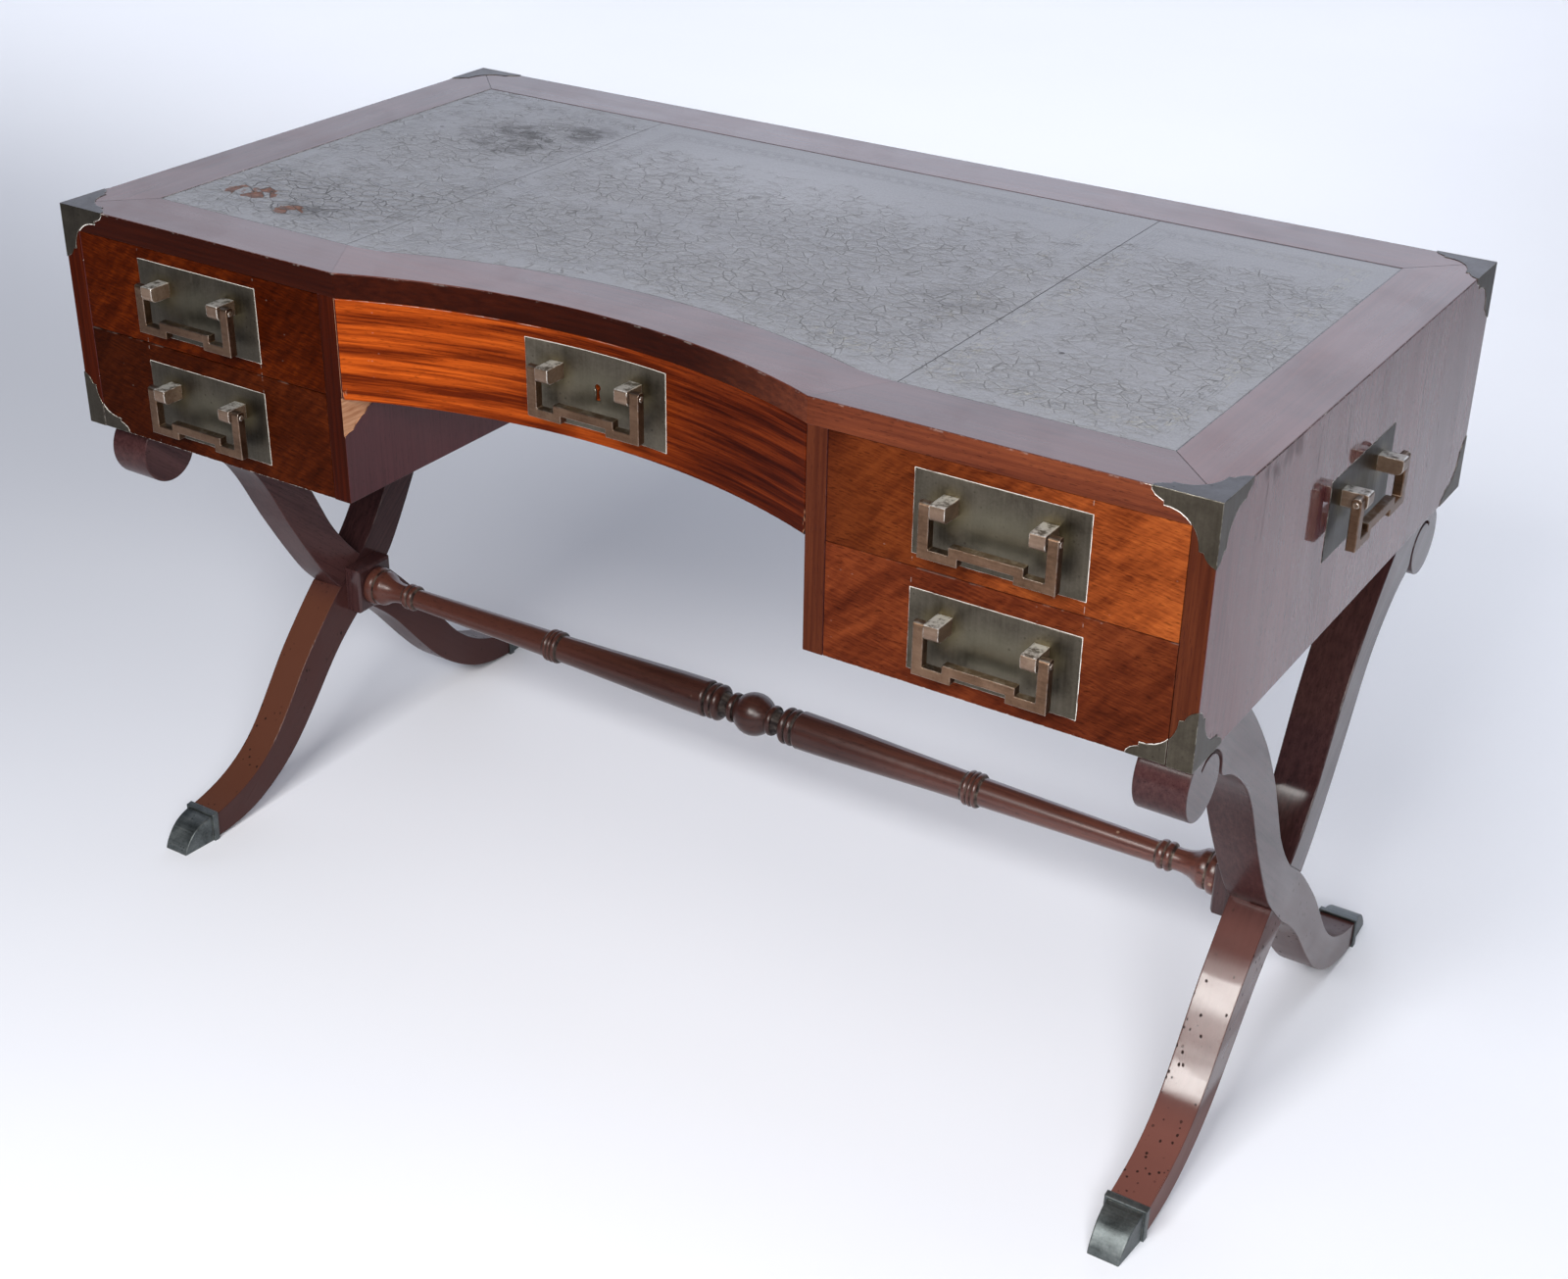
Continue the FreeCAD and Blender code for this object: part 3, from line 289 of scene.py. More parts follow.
def wood(name, axis, tones, seed=0.0, figure="plain", rough=(0.22, 0.36), spec=0.12, coat=None, coat_rough=0.10,
         pore=1.0, wear=0.6, extra=None, mottle=0.5, edge_r=0.0012, front=None, coat_bump=0.03):
    """Polished mahogany. tones are dark, middle and light; coat is the polish,
    a number or a function that gives its weight; extra adds local detail;
    front holds the tones of faces that look forward, left and right of two x."""
    k = Mat(name)
    g = grain_space(k, axis)
    off = (seed * 3.1, seed * 1.7, seed * 2.3)
    big = k.noise(k.scaled(1.1, 7.0, 7.0, g, off), 1.0, 3.0, 0.55, 0.4)
    wav = k.noise(k.scaled(2.2, 6.0, 6.0, g, off), 1.0, 1.0, color=True)
    gw = k.warp(g, wav, (0.0, 0.010, 0.010))
    fibre = k.noise(k.scaled(7.0, 260.0, 260.0, gw, off), 1.0, 3.0, 0.62)
    pores = k.noise(k.scaled(130.0, 900.0, 900.0, gw, off), 1.0, 1.0, 0.4)
    poremask = k.ss(pores, 0.60, 0.74)
    if figure == "ribbon":
        wide = k.noise(k.scaled(6.5, 105.0, 105.0, gw, off), 1.0, 1.0, 0.5)
        thin = k.noise(k.scaled(9.0, 400.0, 400.0, gw, off), 1.0, 3.0, 0.65)
        slow = k.noise(k.scaled(2.0, 26.0, 26.0, gw, off), 1.0, 1.0, 0.5)
        tone = k.add(k.mul(k.sub(k.ss(wide, 0.36, 0.62), 0.5), 0.26), k.mul(k.sub(k.ss(slow, 0.3, 0.7), 0.5), 0.12))
        hair = k.noise(k.scaled(24.0, 760.0, 760.0, gw, off), 1.0, 2.0, 0.6)
        tone = k.add(k.add(tone, k.add(0.47, k.mul(k.sub(hair, 0.5), 0.42))), k.add(k.mul(k.sub(thin, 0.5), 0.62), k.mul(k.sub(fibre, 0.5), 0.42)))
    elif figure == "mottle":
        x, y, z = k.xyz()
        d1 = k.sub(k.mul(x, 0.72), k.mul(z, 0.70))
        d2 = k.add(k.mul(z, 0.72), k.mul(x, 0.70))
        band = k.noise(k.vec(k.mul(d1, 13.0), k.mul(d2, 5.0), seed), 1.0, 2.0, 0.5, 1.1)
        fine = k.noise(k.vec(k.mul(d1, 120.0), k.mul(d2, 30.0), seed + 4.0), 1.0, 2.0, 0.55)
        grain = k.noise(k.vec(k.mul(x, 55.0), k.mul(k.add(z, k.mul(x, 0.18)), 520.0), seed), 1.0, 2.0, 0.6)
        tone = k.add(k.add(k.mul(k.sub(k.ss(band, 0.24, 0.76), 0.5), mottle), k.mul(k.sub(fine, 0.5), 0.40)), 0.5)
        tone = k.add(tone, k.add(k.mul(k.sub(fibre, 0.5), 0.18), k.mul(k.sub(grain, 0.5), 0.50)))
    else:
        tone = k.add(k.mul(big, mottle), k.mul(fibre, 0.46))
    stops = (0.34, 0.48, 0.64) if figure == "plain" else (0.28, 0.50, 0.74)
    col = k.ramp(tone, list(zip(stops, tones)))
    # forward faces take a left-hand or right-hand set of tones; the darker left set is partly painted shade
    if front is not None:
        left, right, x0, x1 = front
        there = k.mix(k.ss(k.xyz()[0], x0, x1), k.ramp(tone, list(zip(stops, left))), k.ramp(tone, list(zip(stops, right))))
        col = k.mix(k.facing(1, -1), col, there)
    dark = tuple(c * 0.35 for c in tones[0])
    col = k.mix(k.mul(poremask, 0.55 * pore), col, dark)
    # arrises rubbed paler and drier, with gaps
    em, bev = k.edge(edge_r)
    rag = k.noise(k.scaled(90, 90, 90, None, off), 1.0, 2.0, 0.6)
    worn = k.mul(em, k.ss(rag, 0.50, 0.66))
    pale = tuple(min(1.0, c * 1.5 + 0.03) for c in tones[2])
    col = k.mix(k.mul(worn, wear), col, pale)
    ro = k.lin(k.noise(k.scaled(3.0, 30.0, 30.0, g, off), 1.0, 3.0, 0.6), 0.3, 0.7, rough[0], rough[1])
    ro = k.add(ro, k.mul(worn, 0.25))
    h = k.sub(k.mul(fibre, 0.25), k.mul(poremask, 0.7))
    dull = worn
    if extra is not None:
        col, ro, h, dull = extra(k, col, ro, h, dull)
    k.set(Base_Color=col, Roughness=ro, Normal=k.bump(h, 0.10, 0.0004, bev))
    k.set(IOR=1.5, Specular_IOR_Level=spec)
    if coat is not None:
        streak = k.noise(k.scaled(4.0, 46.0, 46.0, g, off), 1.0, 3.0, 0.6)
        w = k.mul(k.lin(streak, 0.30, 0.70, 1.0, 0.91), k.inv(dull))
        w = k.mul(w, coat(k) if callable(coat) else coat)
        k.set(Coat_Weight=w, Coat_Roughness=coat_rough, Coat_IOR=1.5, Coat_Normal=k.bump(h, coat_bump, 0.0003, bev))
    return k


POLISH = (0.78, 0.75, 0.70)      # dried polish left in the corners


def residue(k, d, seed=0.0, width=0.0005, cover=0.5):
    """Mask of a broken white line where d is near zero."""
    n = k.noise(k.scaled(75, 75, 75, None, (seed, seed, 0)), 1.0, 3.0, 0.7)
    w = k.mul(k.ss(n, 1.0 - cover - 0.10, 1.0 - cover + 0.14), width)
    return k.ss(k.sub(k.absv(d), w), 0.00022, -0.00012)


def jag(k, d):
    """The same distance with a ragged edge."""
    n = k.noise(k.scaled(330, 330, 330), 1.0, 2.0, 0.6)
    return k.add(d, k.mul(k.sub(n, 0.5), 0.0008))


def front_detail(sx, level, seed, cover=0.55, bracket=False, shade=None):
    """Plate edge polish lines and faint setting-out lines on a drawer front, with a painted light and shade gradient
    across it.
    """
    def extra(k, col, ro, h, dull):
        x, y, z = k.xyz()
        face = k.facing(1, -1)
        # painted light and shade: the front's colour is scaled up and down across x, partly standing in for light
        # falling off across it, partly evening out the figure
        if shade is not None:
            col = k.mix(1.0, col, k.ramp(k.lin(x, shade[0], shade[1]), [(0.0, shade[2]), (1.0, shade[3])]), "MULTIPLY")
        cx = CENTRE_X if sx == 0 else sx * HANDLE_X
        d = k.rect(x, z, cx, HANDLE_Z[level], PLATE_HW, PLATE_HH)
        # thickest along the top and the right side of the plate
        more = k.mx(k.ss(k.sub(z, HANDLE_Z[level]), 0.030, 0.037), k.ss(k.sub(x, cx), 0.070, 0.078))
        line = k.mul(residue(k, k.sub(d, 0.0001), seed, 0.0002, cover), 0.8)
        line = k.mx(line, k.mul(residue(k, k.sub(d, 0.0002), seed + 2, 0.0003, cover + 0.08), more))
        if sx:
            # thin upright scratches that carry on from the plate's sides
            u = k.absv(k.sub(k.absv(k.sub(x, cx)), PLATE_HW - 0.0005))
            n = k.noise(k.scaled(20, 20, 190, None, (seed, 0, 0)), 1.0, 2.0, 0.6)
            up = k.mul(k.ss(u, 0.0005, 0.0002), k.ss(n, 0.55, 0.63))
            line = k.mx(line, k.mul(up, 0.15))
        if bracket:
            gap = bracket_gap(k, k.sub(HW, k.absv(x)), k.sub(z, BOT_Z))
            line = k.mx(line, residue(k, jag(k, gap), seed + 5, 0.00026, 0.60))
        line = k.mul(line, face)
        if level == "lower":
            # dried polish along the joint with the drawer above
            n = k.noise(k.scaled(24, 24, 24, None, (seed, 2.0, 0)), 1.0, 4.0, 0.7)
            joint = k.mul(k.ss(z, 0.63880, 0.63905), k.ss(n, 0.54, 0.62))
            line = k.mx(line, k.mul(joint, 0.05))
        # nicks that show pale wood
        nick = k.mul(k.ss(k.voro(k.scaled(70, 70, 110, None, (seed, 0, 0)), 1.0), 0.10, 0.05), k.ss(k.noise(k.scaled(11, 11, 11), 1.0, 1.0), 0.56, 0.62))
        line = k.mx(line, k.mul(nick, 0.06))
        col = k.mix(line, col, POLISH)
        return col, k.add(ro, k.mul(line, 0.5)), k.add(h, k.mul(line, 0.6)), dull
    return extra


case_tones = ((0.040, 0.0090, 0.0055), (0.072, 0.0170, 0.0095), (0.110, 0.0290, 0.0150))
leg_tones = ((0.0179, 0.0067, 0.0074), (0.0352, 0.0138, 0.0142), (0.0589, 0.0247, 0.0238))
# Each left-hand set of tones is darker than its right-hand partner: partly the wood's own tone, partly painted shade
# and light for the lamps falling off towards the left; BAND_R also carries a painted highlight on the right of the
# top's front edge.
LEFT = ((0.0122, 0.0014, 0.0002), (0.0354, 0.0046, 0.0005), (0.0850, 0.0138, 0.0014))
LEFT_LOW = ((0.0096, 0.0014, 0.0004), (0.0269, 0.0042, 0.0008), (0.0589, 0.0107, 0.0020))
RIGHT = ((0.0620, 0.0112, 0.0036), (0.1400, 0.0296, 0.0076), (0.2400, 0.0575, 0.0132))
RIGHT_LOW = ((0.0347, 0.0060, 0.0025), (0.0756, 0.0151, 0.0051), (0.1364, 0.0308, 0.0090))
CENTRE = ((0.0646, 0.0079, 0.0014), (0.1786, 0.0266, 0.0032), (0.3496, 0.0621, 0.0067))
STILE_L = ((0.0164, 0.0020, 0.0004), (0.0328, 0.0040, 0.0008), (0.0574, 0.0079, 0.0015))
STILE_R = ((0.0270, 0.0057, 0.0028), (0.0497, 0.0114, 0.0051), (0.0810, 0.0208, 0.0083))
BAND_L = ((0.0083, 0.0011, 0.0003), (0.0177, 0.0023, 0.0006), (0.0322, 0.0047, 0.0012))
BAND_R = ((0.0587, 0.0129, 0.0064), (0.1069, 0.0261, 0.0112), (0.1690, 0.0449, 0.0164))

# the last item of each row grades the front across x: partly painted light falling off across the front, partly a
# correction to the figure
for name, sx, level, tones, seed, shade in (
        ("upper_left", -1, "upper", LEFT, 1.0, (-0.6, -0.28, (1.12, 1.06, 1.0), (1.08, 1.05, 0.95))), ("lower_left", -1, "lower", LEFT_LOW, 2.0, (-0.6, -0.28, (0.74, 0.72, 0.72), (1.32, 1.34, 1.36))),
        ("upper_right", 1, "upper", RIGHT, 3.0, (0.28, 0.52, (0.32, 0.28, 0.34), (1.24, 1.26, 1.14))), ("lower_right", 1, "lower", RIGHT_LOW, 4.0, (0.28, 0.60, (1.14, 1.10, 1.10), (0.86, 0.84, 0.88)))):
    assign(wood(name + "_front_mahogany", "front", tones, seed, "mottle", (0.30, 0.44), 0.015, None, 0.1, 1.0, 0.5,
                front_detail(sx, level, seed, 0.55, level == "lower", shade), 0.28 if sx > 0 else 0.16), name + "_drawer_front")


def centre_detail(k, col, ro, h, dull):
    x, y, z = k.xyz()
    # painted light and shade: lighter to the left, where the curved front faces the light from the right, deeper red
    # to the right; partly the ribbon figure's own tone
    col, ro, h, dull = front_detail(0, "upper", 7.0, 0.74, False, (-0.16, 0.14, (1.15, 1.15, 1.15), (0.33, 0.30, 0.55)))(k, col, ro, h, dull)
    # bruised ends of the curved front
    n = k.noise(k.scaled(140, 140, 60), 1.0, 2.0, 0.6)
    low = k.ss(z, 0.695, 0.645)
    end = k.mul(k.mul(k.ss(k.absv(x), 0.2515, 0.2570), k.inv(k.facing(2))), k.ss(k.add(n, k.mul(low, 0.22)), 0.70, 0.78))
    col = k.mix(end, col, k.ramp(k.noise(k.scaled(300, 300, 120), 1.0, 1.0), [(0.44, (0.020, 0.016, 0.014)), (0.58, (0.30, 0.13, 0.07))]))
    # hairline of polish along the top edge
    top = k.mul(k.ss(z, BAND_Z - 0.0016, BAND_Z - 0.0008), k.ss(k.noise(k.scaled(26, 26, 26), 1.0, 3.0, 0.6), 0.42, 0.56))
    col = k.mix(k.mul(k.mul(k.mul(top, k.facing(1, -1)), k.ss(x, 0.06, -0.05)), 0.5), col, POLISH)
    return col, k.add(ro, k.mul(end, 0.4)), k.sub(h, k.mul(end, 1.2)), dull


assign(wood("centre_front_ribbon_mahogany", "front", CENTRE, 6.0, "ribbon", (0.28, 0.40), 0.02, None, 0.1, 0.7, 0.4, centre_detail), "centre_drawer_front")


# ---- end panels -------------------------------------------------------------
CRACKS = [((-0.057, 0.751), (-0.051, 0.704)), ((-0.123, 0.749), (-0.123, 0.712)), ((-0.236, 0.747), (-0.239, 0.697)),
          ((0.217, 0.640), (0.219, 0.622)), ((0.200, 0.607), (0.202, 0.590))]


def end_detail(side):
    def extra(k, col, ro, h, dull):
        x, y, z = k.xyz()
        yc = k.sub(y, YC)
        out = k.facing(0)
        d = k.rect(yc, z, 0.0, 0.650, PLATE_HW, PLATE_HH)
        line = residue(k, k.sub(d, 0.0003), 9.0, 0.0006, 0.45)
        u = k.sub(HD, k.absv(yc))
        for v, s in ((k.sub(TOP_Z, z), 11.0), (k.sub(z, BOT_Z), 12.0)):
            line = k.mx(line, residue(k, jag(k, bracket_gap(k, u, v)), s, 0.0002, 0.45))
        line = k.mul(line, out)
        crack = None
        wob = k.mul(k.sub(k.noise(k.scaled(30, 30, 30), 1.0, 2.0), 0.5), 0.0016)
        for p0, p1 in CRACKS:
            if side < 0:
                p0, p1 = (p0[0] * 0.8 + 0.05, p0[1]), (p1[0] * 0.8 + 0.05, p1[1])
            c = k.segment(k.add(yc, wob), z, p0, p1)
            crack = c if crack is None else k.mn(crack, c)
        crack = k.ss(crack, 0.0006, 0.0001)
        # short dark nicks along the grain, few and small
        n = k.voro(k.scaled(1, 60, 24), 1.0, "F1", 1.0)
        keep = k.ss(k.noise(k.scaled(7, 7, 7), 1.0, 1.0), 0.58, 0.64)
        nick = k.mul(k.ss(n, 0.07, 0.035), keep)
        dark = k.mul(k.mx(crack, k.mul(nick, 0.8)), out)
        # dirt along the upper arris, most of it towards the front
        smut = k.noise(k.scaled(30, 30, 14), 1.0, 3.0, 0.65)
        near = k.ss(yc, -0.05, -0.26)
        rim = k.mul(k.ss(k.sub(z, TOP_Z), -0.0016, -0.0006), k.ss(k.add(smut, k.mul(near, 0.15)), 0.46, 0.58))
        grub = k.mul(k.mul(k.ss(k.add(k.sub(z, TOP_Z), k.mul(k.sub(smut, 0.5), 0.05)), -0.020, -0.004), near), k.ss(smut, 0.46, 0.62))
        dark = k.mx(dark, k.mul(k.mx(k.mul(rim, 0.75), k.mul(grub, 0.6)), out))
        # long soft slanting streaks of old polish
        s1 = k.noise(k.vec(0.0, k.mul(k.add(yc, k.mul(z, 0.35)), 26.0), k.mul(z, 2.4)), 1.0, 3.0, 0.6)
        dull = k.mx(dull, k.mx(dark, k.mx(line, k.add(k.mul(k.ss(s1, 0.44, 0.76), 0.11), k.mul(k.ss(yc, -0.14, -0.29), 0.12)))))
        col = k.mix(dark, col, (0.012, 0.006, 0.005))
        col = k.mix(line, col, POLISH)
        return col, k.add(ro, k.mul(line, 0.4)), k.add(k.sub(h, k.mul(dark, 1.5)), k.mul(line, 0.6)), dull
    return extra


def on_sides(k):
    return k.mul(k.facing(0), 0.95)


end_tones = ((0.058, 0.0125, 0.0150), (0.092, 0.0220, 0.0240), (0.130, 0.0340, 0.0340))


assign(wood("right_end_mahogany", "Z", end_tones, 8.0, "plain", (0.26, 0.38), 0.02, on_sides, 0.05, 0.7, 0.18, end_detail(1), 0.5, 0.0009, (STILE_L, STILE_R, -0.1, 0.1), 0.010), "right_end_panel")
assign(wood("left_end_mahogany", "Z", end_tones, 9.0, "plain", (0.26, 0.38), 0.02, on_sides, 0.05, 0.7, 0.18, end_detail(-1), 0.5, 0.0009, (STILE_L, STILE_R, -0.1, 0.1), 0.010), "left_end_panel")


def knee_coat(k):
    return k.mul(k.facing(0), 0.55)


def knee_detail(k, col, ro, h, dull):
    """A missing flake of veneer at the front of the left kneehole side."""
    x, y, z = k.xyz()
    yc = k.sub(y, YC)
    inside = k.mul(k.ss(x, -0.25856, -0.25864), k.ss(x, -0.2601, -0.2599))
    inside = k.mul(k.mul(inside, k.inv(k.facing(1, -1))), k.mul(k.ss(yc, -0.2815, -0.2825), k.ss(z, 0.5995, 0.6000)))
    raw = k.noise(k.scaled(20, 25, 260), 1.0, 3.0, 0.6)
    col = k.mix(inside, col, k.ramp(raw, [(0.3, (0.30, 0.13, 0.065)), (0.6, (0.48, 0.26, 0.15)), (0.8, (0.62, 0.38, 0.26))]))
    return col, k.add(ro, k.mul(inside, 0.5)), k.sub(h, k.mul(inside, 2.0)), k.mx(dull, inside)


assign(wood("kneehole_side_mahogany", "Z", ((0.042, 0.0098, 0.0115), (0.056, 0.0135, 0.0155), (0.072, 0.0180, 0.0195)), 10.0,
            "plain", (0.26, 0.38), 0.03, knee_coat, 0.16, 0.7, 0.5, knee_detail, 0.5, 0.0012, (STILE_L, STILE_R, -0.1, 0.1), 0.006), "kneehole_side_panels")
assign(wood("back_panel_mahogany", "X", case_tones, 11.0, "plain", (0.24, 0.36), 0.2, 0.6, 0.14, 0.9, 0.5), "back_panel")


# ---- top border -------------------------------------------------------------
def top_detail(which):
    def extra(k, col, ro, h, dull):
        x, y, z = k.xyz()
        ax, ay = k.absv(x), k.absv(k.sub(y, YC))
        up, front, side = k.facing(2, 1), k.facing(1), k.facing(0)
        # patches of veneer that differ a little
        patch = k.noise(k.scaled(7, 7, 7), 1.0, 2.0, 0.5, 1.0)
        col = k.mix(k.mul(k.mul(k.ss(patch, 0.42, 0.66), 0.45), up), col, (0.125, 0.046, 0.040))
        # mitres show as dark hairlines
        mitre = k.mul(k.absv(k.sub(k.sub(HW, ax), k.sub(HD, ay))), 0.7071)
        seam = k.mul(k.ss(mitre, 0.0005, 0.0002), up)
        if which == "front":
            # veneer joints where the straight runs meet the curve
            joint = k.sub(ax, k.add(KNEE, k.mul(k.add(k.sub(y, YC), HD), 0.62)))
            seam = k.mx(seam, k.mul(k.mul(k.ss(k.absv(joint), 0.0005, 0.0002), up), 0.35))
            part = k.ss(joint, -0.0003, 0.0003)
            col = k.mix(k.mul(k.mul(part, 0.30), up), col, (0.040, 0.014, 0.012))
        # brackets let into the corners
        line = k.mul(residue(k, jag(k, bracket_gap(k, k.sub(HW, ax), k.sub(HD, ay))), 21.0, 0.0004, 0.24), up)
        corner = k.ss(ax, HW - 0.064, HW - 0.062)
        line = k.mx(line, k.mul(k.mul(residue(k, jag(k, bracket_gap(k, k.sub(HW, ax), k.sub(TOP_Z, z))), 22.0, 0.00024, 0.54), front), corner))
        line = k.mx(line, k.mul(residue(k, jag(k, bracket_gap(k, k.sub(HD, ay), k.sub(TOP_Z, z))), 23.0, 0.0002, 0.45), side))
        # dark hairline at the arris of the top, broken with polish
        edge = k.mul(k.ss(z, TOP_Z - 0.0022, TOP_Z - 0.0010), k.inv(up))
        bits = k.ss(k.noise(k.scaled(60, 60, 60), 1.0, 3.0, 0.7), 0.56, 0.64)
        line = k.mx(line, k.mul(k.mul(edge, bits), 0.10))
        col = k.mix(seam, col, (0.015, 0.010, 0.010))
        col = k.mix(line, col, POLISH)
        # soft cloudy bloom in the polish
        bloom = k.noise(k.scaled(11, 11, 11), 1.0, 3.0, 0.55, 0.8)
        dull = k.mx(dull, k.mx(k.mx(line, seam), k.add(k.mul(k.ss(bloom, 0.42, 0.72), 0.14), k.mul(k.ss(x, -0.40, -0.56), 0.16))))
        return col, k.add(ro, k.mul(line, 0.4)), k.add(k.sub(h, seam), k.mul(line, 0.5)), dull
    return extra


def on_top(k):
    return k.mx(k.facing(2, 1), k.facing(0))


top_tones = ((0.042, 0.0110, 0.0080), (0.072, 0.0190, 0.0130), (0.110, 0.0320, 0.0200))
assign(wood("top_front_mahogany", "X", top_tones, 12.0, "plain", (0.24, 0.36), 0.05, on_top, 0.15, 0.8, 0.10, top_detail("front"), 0.5, 0.0009, (BAND_L, BAND_R, 0.10, 0.32)), "top_border_front")
assign(wood("top_back_mahogany", "X", top_tones, 13.0, "plain", (0.24, 0.36), 0.05, on_top, 0.15, 0.8, 0.10, top_detail("back")), "top_border_back")
assign(wood("top_ends_mahogany", "Y", top_tones, 14.0, "plain", (0.24, 0.36), 0.05, on_top, 0.15, 0.8, 0.10, top_detail("ends")), "top_border_ends")


# ---- trestles ---------------------------------------------------------------
def leg_detail(front_right, front_left=False):
    def extra(k, col, ro, h, dull):
        """Dents and dark pits, most of them low on the legs."""
        x, y, z = k.xyz()
        v = k.warp(k.scaled(170, 170, 95), k.noise(k.scaled(160, 160, 160), 1.0, 2.0, color=True), 0.35)
        n = k.voro(v, 1.0, "F1", 1.0)
        some = k.ss(k.xyz(k.voro(v, 1.0, "F1", 1.0, "Color"))[0], 0.52, 0.60)
        keep = k.ss(k.noise(k.scaled(18, 18, 18), 1.0, 2.0, 0.6), 0.46, 0.58)
        if front_right:
            keep = k.mx(keep, k.mul(k.ss(z, 0.070, 0.095), k.ss(z, 0.200, 0.165)))
        pit = k.mul(k.mul(k.ss(n, 0.30, 0.16), some), k.mul(keep, k.ss(z, 0.27, 0.20)))
        # browner below the halving
        rub = k.noise(k.scaled(14, 14, 14), 1.0, 3.0, 0.6)
        low = k.mul(k.lin(rub, 0.30, 0.70, 0.62, 0.92), k.ss(z, 0.245, 0.205))
        col = k.mix(low, col, (0.092, 0.035, 0.029) if front_right else (0.058, 0.0200, 0.0170))
        if front_right:
            col = k.mix(k.mul(k.ss(z, 0.090, 0.055), 0.85), col, (0.142, 0.056, 0.045))
        if front_left:
            col = k.mix(k.mul(k.mul(k.ss(z, 0.245, 0.205), 0.8), k.inv(k.facing(0))), col, (0.094, 0.034, 0.019))
        col = k.mix(k.mul(pit, 0.9), col, (0.010, 0.006, 0.005))
        # the shoulders of the halving have lost their polish
        up = k.facing(2, 1)
        dull = k.mx(dull, k.mul(k.mul(up, k.ss(k.absv(k.sub(z, 0.25)), 0.05, 0.03)), 0.9))
        dull = k.mx(dull, k.mul(k.ss(rub, 0.35, 0.70), 0.25))
        if front_right:
            # polish worn thin in the middle of the shin, at the knee and at the ankle
            shin = k.mul(k.ss(z, 0.112, 0.126), k.ss(z, 0.156, 0.142))
            dull = k.mx(dull, k.mx(k.mul(shin, 0.46), k.mx(k.mul(k.ss(z, 0.180, 0.197), k.ss(z, 0.245, 0.215)), k.ss(z, 0.092, 0.074))))
        return col, k.add(ro, k.mul(pit, 0.4)), k.sub(h, k.mul(pit, 2.0)), k.mx(dull, pit)
    return extra


def leg_coat(sides, rest):
    def weight(k):
        return k.mx(k.mul(k.facing(0), sides), rest)
    return weight


DIR_F, DIR_B = (0.76, 0.65), (-0.76, 0.65)
for side, seed, shine, rest in (("right", 15.0, 0.80, 0.80), ("left", 17.0, 0.34, 0.22)):
    assign(wood(side + "_front_leg_mahogany", DIR_F, leg_tones, seed, "plain", (0.26, 0.38), 0.05, leg_coat(shine, rest), 0.115, 1.0, 0.7, leg_detail(side == "right", side == "left"), 0.6, 0.0018),
           side + "_leg_front_foot")
    assign(wood(side + "_back_leg_mahogany", DIR_B, leg_tones, seed + 1, "plain", (0.26, 0.38), 0.05, leg_coat(shine, 0.22), 0.16, 1.0, 0.7, leg_detail(False), 0.6, 0.0018),
           side + "_leg_back_foot")


def turning_detail(k, col, ro, h, dull):
    """Dark wax in the quirks of the turning, rubbed high beads."""
    x, y, z = k.xyz()
    ay, az = k.sub(y, 0.006), k.sub(z, 0.2245)
    r = k.m("SQRT", k.add(k.mul(ay, ay), k.mul(az, az)))
    ax = k.absv(x)
    wax = None
    for a, b, lim in ((0.0205, 0.0300, 0.0152), (0.0270, 0.0400, 0.0150), (0.0460, 0.0495, 0.0188), (0.0545, 0.0590, 0.0190), (0.2605, 0.2820, 0.0172),
                      (0.4765, 0.4960, 0.0138), (0.5320, 0.5350, 0.0205)):
        s = k.mul(k.mul(k.ss(ax, a - 0.0008, a + 0.0004), k.ss(ax, b + 0.0008, b - 0.0004)), k.ss(r, lim + 0.0012, lim - 0.0006))
        wax = s if wax is None else k.mx(wax, s)
    n = k.noise(k.scaled(40, 120, 120), 1.0, 3.0, 0.6)
    col = k.mix(k.mul(wax, 0.88), col, k.ramp(n, [(0.40, (0.010, 0.008, 0.008)), (0.75, (0.12, 0.10, 0.085))]))
    spot = k.mul(k.ss(k.voro(k.scaled(60, 60, 60), 1.0), 0.17, 0.09), k.ss(k.noise(k.scaled(14, 14, 14), 1.0, 1.0), 0.55, 0.62))
    col = k.mix(k.mul(spot, 0.45), col, (0.30, 0.22, 0.17))
    # painted light and shade: darker in the middle, lighter towards the ends, brightest on the right as a painted
    # highlight along the top of the stretcher
    col = k.mix(1.0, col, k.ramp(k.lin(x, -0.56, 0.56), [(0.0, (1.15, 1.10, 1.05)), (0.40, (0.52, 0.52, 0.52)), (0.62, (0.74, 0.76, 0.80)), (0.86, (1.80, 1.75, 1.66))]), "MULTIPLY")
    return col, k.add(ro, k.mul(wax, 0.35)), h, k.mx(dull, k.mul(wax, 0.8))


def turning_coat(k):
    return k.lin(k.xyz()[0], 0.10, 0.34, 0.42, 0.95)


assign(wood("stretcher_mahogany", "X", ((0.020, 0.0062, 0.0052), (0.039, 0.0126, 0.0098), (0.068, 0.0235, 0.0170)), 19.0, "plain", (0.26, 0.38), 0.12, turning_coat, 0.30, 1.0, 0.2, turning_detail, 0.6, 0.0006), "stretcher")
assign(wood("stretcher_block_mahogany", "Z", leg_tones, 20.0, "plain", (0.26, 0.38), 0.15, 0.6, 0.20, 1.0, 0.6), "stretcher_blocks")


